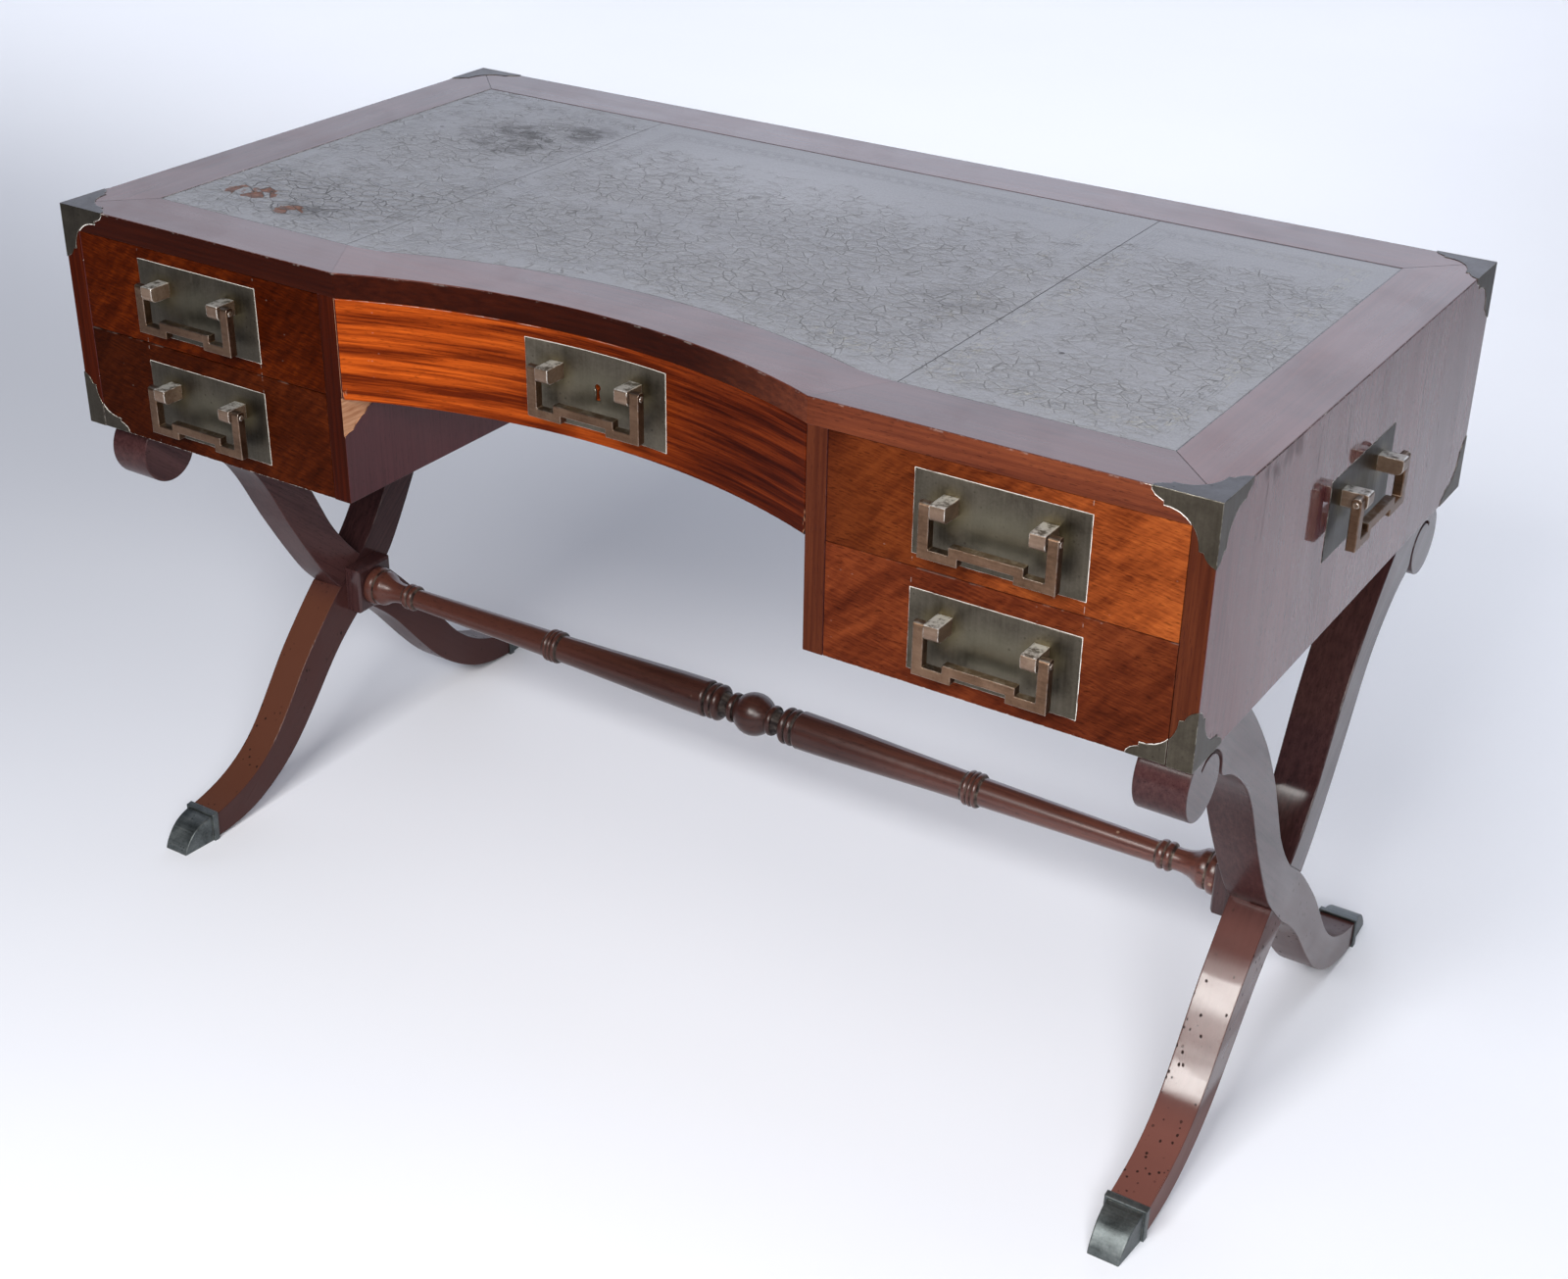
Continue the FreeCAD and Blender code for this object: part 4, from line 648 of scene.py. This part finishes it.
# ---- secondary woods --------------------------------------------------------
def dull_wood(name, axis, tones, seed, dust=0.4):
    k = Mat(name)
    g = grain_space(k, axis)
    off = (seed, seed * 2, seed * 3)
    wav = k.noise(k.scaled(1.5, 5, 5, g, off), 1.0, 1.0, color=True)
    gw = k.warp(g, wav, (0.0, 0.02, 0.02))
    ring = k.noise(k.scaled(0.9, 34, 34, gw, off), 1.0, 3.0, 0.6, 0.5)
    fibre = k.noise(k.scaled(9, 420, 420, gw, off), 1.0, 3.0, 0.65)
    col = k.ramp(k.add(k.mul(ring, 0.6), k.mul(fibre, 0.4)), [(0.30, tones[0]), (0.52, tones[1]), (0.75, tones[2])])
    stain = k.noise(k.scaled(7, 7, 7, None, off), 1.0, 4.0, 0.6, 0.6)
    col = k.mix(k.mul(k.ss(stain, 0.50, 0.72), dust), col, tuple(c * 0.45 for c in tones[0]))
    em, bev = k.edge(0.001)
    col = k.mix(k.mul(em, 0.35), col, tuple(min(1, c * 1.25) for c in tones[2]))
    k.set(Base_Color=col, Roughness=k.lin(fibre, 0.3, 0.7, 0.55, 0.78), Normal=k.bump(fibre, 0.25, 0.0005, bev))
    k.set(Specular_IOR_Level=0.3)
    return k


assign(dull_wood("lining_front_to_back", "Y", ((0.20, 0.105, 0.052), (0.31, 0.18, 0.095), (0.43, 0.27, 0.155)), 31.0),
       *["%s_drawer_box" % d for d in ("upper_left", "lower_left", "upper_right", "lower_right", "centre")])
assign(dull_wood("lining_bottom", "X", ((0.23, 0.125, 0.065), (0.36, 0.215, 0.115), (0.47, 0.305, 0.18)), 33.0),
       *["%s_drawer_bottom" % d for d in ("upper_left", "lower_left", "upper_right", "lower_right", "centre")])
assign(dull_wood("carcase_boards", "X", ((0.15, 0.075, 0.038), (0.25, 0.135, 0.068), (0.36, 0.21, 0.115)), 35.0, 0.6),
       "pedestal_boards", "top_core")
assign(dull_wood("runner_wood", "Y", ((0.13, 0.062, 0.032), (0.21, 0.108, 0.055), (0.31, 0.175, 0.095)), 37.0, 0.6), "centre_drawer_runners")


# ---------------------------------------------------------------------------
# leather
# ---------------------------------------------------------------------------
def leather():
    k = Mat("aged_green_leather")
    x, y0, z = k.xyz()
    y = k.sub(y0, YC)
    ax = k.absv(x)
    mid = k.ss(ax, SEAM + 0.0001, SEAM - 0.0001)
    # distance to the edges of each laid piece
    bx, by = HW - BORDER, HD - BORDER
    d_back = k.sub(by, y)
    rin = R_FRONT + BORDER
    ry = k.sub(y0, ARC_Y)
    d_arc = k.sub(k.m("SQRT", k.add(k.mul(x, x), k.mul(ry, ry))), rin)
    d_line = k.add(y, by)
    d_front = k.mx(d_line, d_arc)
    d_front = k.mn(d_front, k.add(d_line, 0.2))
    d_front_side = d_line
    d_fy = k.add(k.mul(mid, d_arc), k.mul(k.inv(mid), d_front_side))
    d_out = k.sub(bx, ax)
    d_seam = k.absv(k.sub(ax, SEAM))
    # tooled border: inset differs from side to side, as it was laid by hand
    t_mid = k.mn(k.mn(k.sub(d_back, 0.0), k.sub(d_fy, 0.0)), k.add(d_seam, -0.006))
    t_side = k.mn(k.mn(k.sub(d_back, 0.0), d_fy), k.mn(k.add(d_out, 0.006), k.add(d_seam, 0.018)))
    t = k.add(k.mul(mid, t_mid), k.mul(k.inv(mid), t_side))
    return k, x, y, mid, t, d_back, d_fy, d_out, d_seam


def build_leather():
    k, x, y, mid, t, d_back, d_fy, d_out, d_seam = leather()
    flat = k.vec(x, y, 0.0)
    # how far the surface has broken up, field by field
    fields = [(-0.44, -0.17, 0.15, 0.10, 1.0), (-0.39, 0.115, 0.11, 0.095, 1.0), (0.08, -0.125, 0.26, 0.095, 1.0), (0.24, -0.08, 0.09, 0.12, 1.0),
              (-0.14, -0.10, 0.20, 0.11, 0.9), (0.41, -0.19, 0.16, 0.08, 0.8), (0.46, -0.03, 0.14, 0.10, 0.7), (-0.33, -0.12, 0.11, 0.12, 0.9),
              (0.21, -0.18, 0.14, 0.06, 0.9), (0.08, 0.03, 0.30, 0.11, 0.7), (0.42, 0.12, 0.15, 0.12, 0.5), (-0.16, 0.06, 0.18, 0.11, 0.6), (-0.45, 0.02, 0.12, 0.12, 0.55)]
    craze = None
    for cx, cy, rx, ry, s in fields:
        f = k.mul(k.blob(x, y, cx, cy, rx, ry), s)
        craze = f if craze is None else k.mx(craze, f)
    patchy = k.noise(flat, 11.0, 3.0, 0.6)
    calm = k.mul(k.ss(y, 0.13, 0.23), k.ss(x, -0.34, -0.24))
    craze = k.m("ADD", k.add(0.50, k.mul(craze, 0.28)), k.sub(k.mul(k.sub(patchy, 0.48), 0.55), k.mul(calm, 0.36)), clamp=True)
    # three sizes of cracks, drawn out along the length of the desk
    w1 = k.noise(flat, 26.0, 3.0, 0.6, color=True)
    v1 = k.warp(k.scaled(1.0, 1.45, 1.0, flat), w1, 0.011)
    c1 = k.voro(v1, 50.0, "DISTANCE_TO_EDGE")
    id1 = k.xyz(k.voro(v1, 50.0, "F1", 1.0, "Color"))
    w2 = k.noise(flat, 80.0, 2.0, 0.6, color=True)
    v2 = k.warp(k.scaled(1.0, 1.5, 1.0, flat), w2, 0.005)
    c2 = k.voro(v2, 125.0, "DISTANCE_TO_EDGE")
    v3 = k.warp(k.scaled(0.32, 1.0, 1.0, flat), w1, 0.016)
    c3 = k.voro(v3, 62.0, "DISTANCE_TO_EDGE")
    broken = k.noise(flat, 38.0, 2.0, 0.6)
    br2 = k.noise(flat, 90.0, 2.0, 0.6)
    on1 = k.ss(k.add(k.mul(craze, 0.60), k.mul(broken, 0.60)), 0.52, 0.74)
    on2 = k.ss(k.add(k.mul(craze, 0.50), k.mul(br2, 0.60)), 0.48, 0.66)
    on3 = k.ss(k.add(k.mul(craze, 0.40), k.mul(broken, 0.70)), 0.52, 0.66)
    crack1 = k.mul(k.ss(c1, 0.036, 0.008), on1)
    crack2 = k.mul(k.ss(c2, 0.070, 0.012), on2)
    crack3 = k.mul(k.ss(c3, 0.040, 0.006), on3)
    lift1 = k.mul(k.ss(c1, 0.22, 0.03), on1)
    lift2 = k.mul(k.ss(c2, 0.24, 0.04), on2)
    lift3 = k.mul(k.ss(c3, 0.16, 0.02), on3)
    # colour: grey-blue over the dark green hide, partly the hide gone grey and partly a painted sheen of the pale
    # backdrop; darker where the finish is rubbed off
    cloud = k.noise(flat, 5.0, 4.0, 0.6, 0.5)
    base = k.ramp(cloud, [(0.30, (0.170, 0.169, 0.182)), (0.55, (0.232, 0.232, 0.250)), (0.78, (0.290, 0.293, 0.316))])
    base = k.mix(k.mul(k.blob(x, y, -0.10, 0.13, 0.28, 0.15), 0.72), base, (0.350, 0.351, 0.380))
    fine = k.noise(flat, 420.0, 2.0, 0.6)
    base = k.mix(0.30, base, k.ramp(fine, [(0.35, (0.080, 0.081, 0.085)), (0.65, (0.240, 0.245, 0.255))]))
    # pale rims of the lifted flakes: partly rubbed, partly a painted highlight where the raised edges catch the light
    base = k.mix(k.mul(k.mx(lift1, k.mul(lift2, 0.7)), 0.28), base, (0.350, 0.347, 0.340))
    dark = None
    for cx, cy, rx, ry, s in [(-0.395, 0.12, 0.080, 0.085, 1.0), (-0.345, 0.17, 0.050, 0.050, 0.95), (-0.405, -0.195, 0.055, 0.045, 0.95), (0.10, -0.12, 0.20, 0.085, 0.12),
                              (0.245, -0.075, 0.055, 0.080, 0.42), (0.275, -0.055, 0.045, 0.050, 0.30), (-0.16, -0.10, 0.17, 0.080, 0.14), (0.19, 0.10, 0.09, 0.07, 0.06), (-0.47, -0.16, 0.08, 0.06, 0.18)]:
        f = k.mul(k.blob(x, y, cx, cy, rx, ry), s)
        dark = f if dark is None else k.mx(dark, f)
    smear = k.noise(k.scaled(1, 1.4, 1, flat), 34.0, 4.0, 0.65, 0.6)
    dark = k.mul(dark, k.ss(smear, 0.40, 0.60))
    col = k.mix(k.mul(dark, 0.72), base, (0.048, 0.045, 0.044))
    # whole flakes gone, with the brown under them
    nt = k.noise(flat, 120.0, 3.0, 0.6)
    torn = k.mx(k.blob(x, y, -0.492, -0.190, 0.040, 0.032), k.mul(k.blob(x, y, -0.421, -0.212, 0.026, 0.022), 0.8))
    tear = k.ss(k.add(k.add(torn, k.mul(k.sub(id1[0], 0.5), 0.9)), k.mul(k.sub(nt, 0.5), 1.0)), 0.62, 0.70)
    tear = k.mul(tear, k.ss(torn, 0.02, 0.12))
    col = k.mix(k.mul(tear, 0.92), col, k.ramp(nt, [(0.35, (0.075, 0.028, 0.016)), (0.52, (0.200, 0.075, 0.040)), (0.70, (0.260, 0.125, 0.080))]))
    # dark cracks
    crack = k.mx(k.mx(crack1, k.mul(crack3, 0.5)), k.mul(crack2, 0.46))
    deep = k.add(0.47, k.mul(k.mx(dark, k.blob(x, y, -0.44, -0.16, 0.18, 0.12)), 0.45))
    col = k.mix(k.mul(crack, deep), col, (0.040, 0.037, 0.036))
    # gold tooling, mostly rubbed away: two fillets with a key fret between them
    lines = None
    for at, w in ((0.0265, 0.0003), (0.0300, 0.0002), (0.0415, 0.0002), (0.0450, 0.0003)):
        f = k.ss(k.absv(k.sub(t, at)), w + 0.0005, w)
        lines = f if lines is None else k.mx(lines, f)
    along_x = k.ss(k.sub(k.mn(d_back, d_fy), k.mn(k.add(d_out, 0.006), k.add(d_seam, 0.018))), 0.0, 0.0004)
    run = k.add(k.mul(along_x, y), k.mul(k.inv(along_x), x))
    cell = k.m("FRACT", k.mul(run, 1 / 0.017))
    tt = k.mul(k.sub(t, 0.0310), 1 / 0.0095)
    inband = k.mul(k.ss(tt, 0.0, 0.03), k.ss(tt, 1.0, 0.97))

    def stroke(v, at, w=0.06):
        return k.ss(k.absv(k.sub(v, at)), w + 0.05, w - 0.02)
    left, right = k.ss(cell, 0.02, 0.08), k.ss(cell, 0.92, 0.86)
    key = k.mx(k.mul(stroke(tt, 0.14, 0.07), k.ss(cell, 0.70, 0.66)), k.mul(stroke(tt, 0.86, 0.07), k.ss(cell, 0.30, 0.34)))
    key = k.mx(key, k.mul(stroke(tt, 0.50, 0.07), k.mul(k.ss(cell, 0.28, 0.32), k.ss(cell, 0.72, 0.68))))
    key = k.mx(key, k.mul(stroke(cell, 0.30, 0.05), k.ss(tt, 0.60, 0.50)))
    key = k.mx(key, k.mul(stroke(cell, 0.70, 0.05), k.ss(tt, 0.40, 0.50)))
    key = k.mul(k.mul(k.mul(key, inband), left), right)
    tool = k.mx(lines, key)
    kept = k.noise(flat, 17.0, 3.0, 0.65)
    kept2 = k.noise(flat, 140.0, 2.0, 0.6)
    spared = k.add(0.12, k.mul(k.ss(x, -0.05, 0.22), 0.75))
    shown = k.mul(k.mul(k.ss(kept, 0.38, 0.62), k.ss(kept2, 0.40, 0.60)), spared)
    col = k.mix(k.mul(k.mul(tool, shown), 0.50), col, (0.40, 0.37, 0.28))
    col = k.mix(k.mul(k.mul(tool, k.inv(shown)), 0.30), col, (0.040, 0.041, 0.041))
    # painted shade in the narrow gaps along the edges of the leather and in the seams, wider at the back right
    rim = k.mn(k.mn(d_back, d_fy), d_out)
    gap = k.ss(k.add(rim, k.mul(k.sub(kept, 0.5), 0.0016)), 0.0016, 0.0002)
    back_gap = k.mul(k.ss(d_back, 0.0034, 0.0014), k.ss(x, 0.10, 0.40))
    gap = k.mx(k.mx(gap, back_gap), k.mul(k.ss(d_seam, 0.0009, 0.0003), k.lin(x, -0.2, 0.2, 0.34, 0.7)))
    col = k.mix(k.mul(gap, 0.9), col, (0.014, 0.013, 0.014))
    # worm-sized holes
    for cx, cy, r in ((0.385, -0.123, 0.0040), (-0.494, 0.104, 0.0036), (-0.314, -0.230, 0.0024)):
        hole = k.ss(k.blob(x, y, cx, cy, r, r), 0.2, 0.6)
        col = k.mix(hole, col, (0.020, 0.012, 0.010))
    # relief in millimetres
    pebble = k.voro(k.warp(flat, k.noise(flat, 300.0, 1.0, color=True), 0.001), 620.0)
    h = k.add(k.mul(lift1, k.add(0.50, k.mul(k.blob(x, y, -0.44, -0.14, 0.20, 0.14), 0.70))), k.mul(lift2, 0.30))
    h = k.add(h, k.mul(lift3, 0.30))
    h = k.add(h, k.mul(pebble, 0.05))
    h = k.sub(h, k.mul(crack1, 0.70))
    h = k.sub(h, k.mul(crack2, 0.30))
    h = k.sub(h, k.mul(crack3, 0.40))
    h = k.sub(h, k.mul(tool, 0.12))
    h = k.sub(h, k.mul(gap, 0.5))
    h = k.sub(h, k.mul(tear, 0.5))
    wave = k.noise(k.scaled(1.0, 1.6, 1.0, flat), 24.0, 3.0, 0.55)
    h = k.add(h, k.mul(wave, 0.7))
    ro = k.add(k.lin(cloud, 0.3, 0.7, 0.26, 0.36), k.mul(k.mx(dark, crack), 0.20))
    ro = k.add(ro, k.mul(tear, 0.3))
    k.set(Base_Color=col, Roughness=ro, Normal=k.bump(h, 0.8, 0.001))
    k.set(IOR=1.48, Specular_IOR_Level=0.5)
    return k


assign(build_leather(), "writing_leather")


# ---------------------------------------------------------------------------
# metal
# ---------------------------------------------------------------------------
def brass(name, tones, edge_col, rough=(0.30, 0.46), seed=0.0, streak="Z", edge_amt=0.8, edge_r=0.0010, metallic=1.0, grime=0.5, stain=None):
    k = Mat(name)
    off = (seed, seed * 1.3, seed * 0.7)
    sc = {"X": (6, 420, 420), "Z": (420, 420, 10)}[streak]
    brush = k.noise(k.scaled(*sc, None, off), 1.0, 2.0, 0.6)
    cloud = k.noise(k.scaled(26, 26, 26, None, off), 1.0, 4.0, 0.6, 0.7)
    fine = k.noise(k.scaled(420, 420, 420, None, off), 1.0, 2.0, 0.6)
    t = k.add(k.add(k.mul(cloud, 0.60), k.mul(brush, 0.22)), k.mul(fine, 0.18))
    col = k.ramp(t, [(0.33, tones[0]), (0.50, tones[1]), (0.68, tones[2])])
    if stain is not None:
        col = stain(k, col)
    spots = k.mul(k.ss(k.voro(k.scaled(150, 150, 150, None, off), 1.0), 0.22, 0.10), k.ss(cloud, 0.5, 0.62))
    col = k.mix(k.mul(spots, grime), col, tuple(c * 0.35 for c in tones[0]))
    # pale arrises: partly worn bare metal, partly a painted highlight on edges that catch the light
    em, bev = k.edge(edge_r)
    rag = k.noise(k.scaled(130, 130, 130, None, off), 1.0, 2.0, 0.6)
    worn = k.mul(em, k.ss(rag, 0.36, 0.58))
    col = k.mix(k.mul(worn, edge_amt), col, edge_col)
    ro = k.lin(k.add(k.mul(cloud, 0.6), k.mul(brush, 0.4)), 0.35, 0.65, rough[0], rough[1])
    ro = k.sub(ro, k.mul(worn, 0.10))
    h = k.add(k.mul(brush, 0.30), k.mul(fine, 0.35))
    k.set(Base_Color=col, Roughness=ro, Normal=k.bump(h, 0.10, 0.0003, bev))
    k.set(Metallic=metallic)
    return k


def plate_stain(cx, cz, across=0):
    """Warm tarnish round the posts, greener in the middle of the plate."""
    def stain(k, col):
        x, y, z = k.xyz()
        a = k.sub(y, YC) if across else x
        for s in (-1, 1):
            f = k.blob(a, z, cx + s * 0.046, cz + 0.010, 0.026, 0.024)
            col = k.mix(k.mul(f, 0.55), col, (0.160, 0.125, 0.055))
        f = k.blob(a, z, cx, cz, 0.060, 0.030)
        return k.mix(k.mul(f, 0.35), col, (0.215, 0.200, 0.140))
    return stain


PLATE = ((0.0512, 0.0426, 0.0310), (0.0848, 0.0730, 0.0554), (0.1240, 0.1079, 0.0835))
PALE_EDGE = (0.66, 0.62, 0.52)
for name, sx, level, seed in (("upper_left", -1, "upper", 41.0), ("lower_left", -1, "lower", 42.0), ("upper_right", 1, "upper", 43.0), ("lower_right", 1, "lower", 44.0)):
    assign(brass(name + "_plate_brass", PLATE, PALE_EDGE, (0.40, 0.54), seed, "Z", 0.7, 0.0007, 1.0, 0.4, plate_stain(sx * HANDLE_X, HANDLE_Z[level])), name + "_handle_plate")
assign(brass("centre_plate_brass", tuple(tuple(c * 1.35 for c in t) for t in PLATE), PALE_EDGE, (0.40, 0.54), 45.0, "Z", 0.8, 0.0007, 1.0, 0.4, plate_stain(CENTRE_X, HANDLE_Z["upper"])), "centre_handle_plate")
# the carry plates' pale arrises are a painted highlight on the lit edge of the plate
assign(brass("carry_plate_brass", tuple(tuple(c * 0.42 for c in t) for t in PLATE), PALE_EDGE, (0.34, 0.48), 46.0, "Z", 0.85, 0.0008, 1.0, 0.4, plate_stain(0.0, 0.650, 1)), "carry_handle_plates")

BRACKET_TONES = ((0.0385, 0.0316, 0.0230), (0.0623, 0.0524, 0.0389), (0.0918, 0.0785, 0.0590))


def bracket_top(k, col):
    """The upper faces are paler and greyer."""
    return k.mix(k.mul(k.facing(2, 1), 0.8), col, (0.125, 0.124, 0.128))


# the brackets' pale arrises stand in for a painted highlight along their edges
assign(brass("bracket_brass", BRACKET_TONES, (0.50, 0.47, 0.39), (0.34, 0.48), 47.0, "Z", 0.75, 0.0011, 1.0, 0.6, bracket_top),
       "corner_brackets_top", "corner_brackets_bottom", "lower_left_corner_plate", "lower_right_corner_plate")


def top_wear_and_highlight(amount, col_light, cover, scale, dark):
    """Upper faces are worn to bright metal with dark pits; on the posts the pale top is partly a painted highlight."""
    def stain(k, col):
        up = k.facing(2, 1)
        n = k.noise(k.scaled(scale, scale, scale), 1.0, 3.0, 0.7)
        bright = k.mul(k.ss(n, 0.54 - cover * 0.2, 0.74 - cover * 0.2), amount)
        return k.mix(up, col, k.mix(bright, dark, col_light))
    return stain


BAIL = ((0.0760, 0.0425, 0.0250), (0.1450, 0.0850, 0.0530), (0.2200, 0.1370, 0.0890))
assign(brass("bail_brass", BAIL, (0.88, 0.82, 0.74), (0.32, 0.44), 48.0, "X", 0.95, 0.0011, 1.0, 0.5, top_wear_and_highlight(0.40, (0.60, 0.56, 0.50), 0.45, 90.0, (0.205, 0.150, 0.110))),
       "upper_left_bail", "lower_left_bail", "upper_right_bail", "lower_right_bail", "centre_bail", "right_carry_bail", "left_carry_bail")
POST = ((0.090, 0.054, 0.034), (0.155, 0.100, 0.068), (0.240, 0.168, 0.120))
# the posts' near-white tops are partly a painted highlight, standing in for light off their upper faces
assign(brass("post_brass", POST, (0.92, 0.88, 0.82), (0.28, 0.40), 49.0, "X", 0.9, 0.0016, 0.6, 0.4, top_wear_and_highlight(0.95, (0.66, 0.65, 0.62), 0.80, 120.0, (0.120, 0.105, 0.085))),
       "upper_left_handle_posts", "lower_left_handle_posts", "upper_right_handle_posts", "lower_right_handle_posts", "centre_handle_posts", "carry_handle_posts")
TOE = ((0.042, 0.048, 0.048), (0.104, 0.118, 0.120), (0.195, 0.214, 0.214))
assign(brass("toe_brass", TOE, (0.34, 0.32, 0.26), (0.38, 0.54), 50.0, "X", 0.5, 0.0012, 0.9, 0.7), "toe_caps")
assign(brass("lock_brass", ((0.30, 0.22, 0.10), (0.46, 0.36, 0.18), (0.58, 0.48, 0.27)), (0.85, 0.75, 0.50), (0.30, 0.45), 51.0, "X", 0.6, 0.0008), "lock_case", "lock_bolt")
assign(brass("screw_steel", ((0.22, 0.21, 0.20), (0.38, 0.37, 0.36), (0.52, 0.51, 0.50)), (0.7, 0.7, 0.7), (0.30, 0.45), 52.0, "Z", 0.5, 0.0006), "trestle_screws")


# ---------------------------------------------------------------------------
# rounded arrises
# ---------------------------------------------------------------------------
def soften(width, segments, *names):
    for n in names:
        o = NODES[n]
        m = o.modifiers.new("weld", "WELD")
        m.merge_threshold = 1e-5
        m = o.modifiers.new("flats", "DECIMATE")
        m.decimate_type = "DISSOLVE"
        m.angle_limit = math.radians(0.6)
        m = o.modifiers.new("arris", "BEVEL")
        m.width = width
        m.segments = segments
        m.limit_method = "ANGLE"
        m.angle_limit = math.radians(35.0)
        m.use_clamp_overlap = False
        m = o.modifiers.new("shade", "WEIGHTED_NORMAL")
        m.weight = 60


soften(0.0010, 3, "right_leg_front_foot", "right_leg_back_foot", "left_leg_front_foot", "left_leg_back_foot")
soften(0.0008, 2, "stretcher_blocks", "centre_drawer_runners")

# ---------------------------------------------------------------------------
# stage, light and camera
# ---------------------------------------------------------------------------
def make_floor():
    k = Mat("paper_floor")
    n = k.noise(k.p, 0.9, 3.0, 0.5)
    k.set(Base_Color=k.ramp(n, [(0.3, (0.785, 0.808, 0.868)), (0.7, (0.812, 0.834, 0.892))]), Roughness=k.lin(n, 0.3, 0.7, 0.75, 0.9))
    k.set(Specular_IOR_Level=0.2)
    me = bpy.data.meshes.new("floor")
    s = 14.0
    me.from_pydata([(-s, -s, 0), (s, -s, 0), (s, s, 0), (-s, s, 0)], [], [(0, 1, 2, 3)])
    me.materials.append(k.mat)
    o = bpy.data.objects.new("floor", me)
    scene.collection.objects.link(o)


make_floor()

world = bpy.data.worlds.new("studio")
scene.world = world
world.use_nodes = True
wt = world.node_tree
wt.nodes.clear()


def wnode(kind, **props):
    n = wt.nodes.new(kind)
    for q, v in props.items():
        setattr(n, q, v)
    return n


# a dim room with a bright white backdrop low behind the desk
w_co = wnode("ShaderNodeTexCoord")
w_sep = wnode("ShaderNodeSeparateXYZ")
wt.links.new(w_co.outputs["Generated"], w_sep.inputs[0])
w_y = wnode("ShaderNodeMapRange", interpolation_type="SMOOTHSTEP")
wt.links.new(w_sep.outputs[1], w_y.inputs[0])
w_y.inputs[1].default_value, w_y.inputs[2].default_value = -0.15, 0.45
w_z = wnode("ShaderNodeMapRange", interpolation_type="SMOOTHSTEP")
wt.links.new(w_sep.outputs[2], w_z.inputs[0])
w_z.inputs[1].default_value, w_z.inputs[2].default_value = 0.72, 0.48
w_z2 = wnode("ShaderNodeMapRange", interpolation_type="SMOOTHSTEP")
wt.links.new(w_sep.outputs[2], w_z2.inputs[0])
w_z2.inputs[1].default_value, w_z2.inputs[2].default_value = 0.24, 0.40
w_z2.inputs[3].default_value = 0.78
w_zz = wnode("ShaderNodeMath", operation="MULTIPLY")
wt.links.new(w_z.outputs[0], w_zz.inputs[0])
wt.links.new(w_z2.outputs[0], w_zz.inputs[1])
w_m = wnode("ShaderNodeMath", operation="MULTIPLY")
wt.links.new(w_y.outputs[0], w_m.inputs[0])
wt.links.new(w_zz.outputs[0], w_m.inputs[1])
w_x = wnode("ShaderNodeMapRange", interpolation_type="SMOOTHSTEP")
wt.links.new(w_sep.outputs[0], w_x.inputs[0])
w_x.inputs[1].default_value, w_x.inputs[2].default_value = -0.85, -0.40
w_x.inputs[3].default_value = 0.68
w_x2 = wnode("ShaderNodeMapRange", interpolation_type="SMOOTHSTEP")
wt.links.new(w_sep.outputs[0], w_x2.inputs[0])
w_x2.inputs[1].default_value, w_x2.inputs[2].default_value = 0.50, 0.12
w_mx = wnode("ShaderNodeMath", operation="MULTIPLY")
wt.links.new(w_m.outputs[0], w_mx.inputs[0])
wt.links.new(w_x.outputs[0], w_mx.inputs[1])
w_mx2 = wnode("ShaderNodeMath", operation="MULTIPLY")
wt.links.new(w_mx.outputs[0], w_mx2.inputs[0])
wt.links.new(w_x2.outputs[0], w_mx2.inputs[1])
w_ramp = wnode("ShaderNodeValToRGB")
wt.links.new(w_mx2.outputs[0], w_ramp.inputs[0])
els = w_ramp.color_ramp.elements
els[0].position, els[0].color = 0.0, (0.082, 0.087, 0.104, 1)
els[1].position, els[1].color = 1.0, (1.400, 1.480, 1.740, 1)
w_bg = wnode("ShaderNodeBackground")
wt.links.new(w_ramp.outputs[0], w_bg.inputs[0])
w_bg.inputs[1].default_value = 1.0
w_out = wnode("ShaderNodeOutputWorld")
wt.links.new(w_bg.outputs[0], w_out.inputs[0])


def area(name, at, to, size, power, color=(1, 1, 1), spread=180.0):
    d = bpy.data.lights.new(name, "AREA")
    d.shape = "RECTANGLE"
    d.size, d.size_y = size
    d.energy = power
    d.color = color
    d.spread = math.radians(spread)
    o = bpy.data.objects.new(name, d)
    o.location = at
    o.rotation_euler = (Vector(to) - Vector(at)).to_track_quat("-Z", "Y").to_euler()
    scene.collection.objects.link(o)
    return o


area("key", (0.28, -2.60, 2.32), (0.15, -0.2, 0.35), (1.50, 0.85), 99.0, (1.0, 0.982, 0.955))
area("right_box", (1.90, -2.40, 1.90), (0.1, 0.0, 0.2), (1.2, 1.0), 62.0, (1.0, 0.99, 0.98))
area("back_panel_light", (-3.4, 3.9, 3.0), (-3.4, 3.9, 0.0), (8.0, 4.9), 106.0, (0.97, 0.98, 1.0), 60.0)
area("side_box", (1.15, 1.2, 2.8), (1.15, 1.2, 0.0), (1.4, 1.6), 5.8, (0.97, 0.98, 1.0), 60.0)

# camera solved from the corners of the case
cam_data = bpy.data.cameras.new("camera")
cam_data.sensor_fit = "HORIZONTAL"
cam_data.sensor_width = 36.0
cam_data.lens = 36.0 * 2277.6 / 1600.0
cam_data.clip_start, cam_data.clip_end = 0.05, 100.0
cam = bpy.data.objects.new("camera", cam_data)
scene.collection.objects.link(cam)
az, el, roll = (math.radians(a) for a in (-32.366, -28.531, 0.929))
F = Vector((math.sin(az) * math.cos(el), math.cos(az) * math.cos(el), math.sin(el)))
R0 = Vector((math.cos(az), -math.sin(az), 0.0))
U0 = R0.cross(F)
R = math.cos(roll) * R0 + math.sin(roll) * U0
U = -math.sin(roll) * R0 + math.cos(roll) * U0
rot = Matrix((R, U, -F)).transposed()
cam.matrix_world = Matrix.Translation((1.1444, -1.7546 + YC, 1.4532)) @ rot.to_4x4()
scene.camera = cam
scene.view_settings.view_transform = "Standard"
scene.view_settings.look = "None"
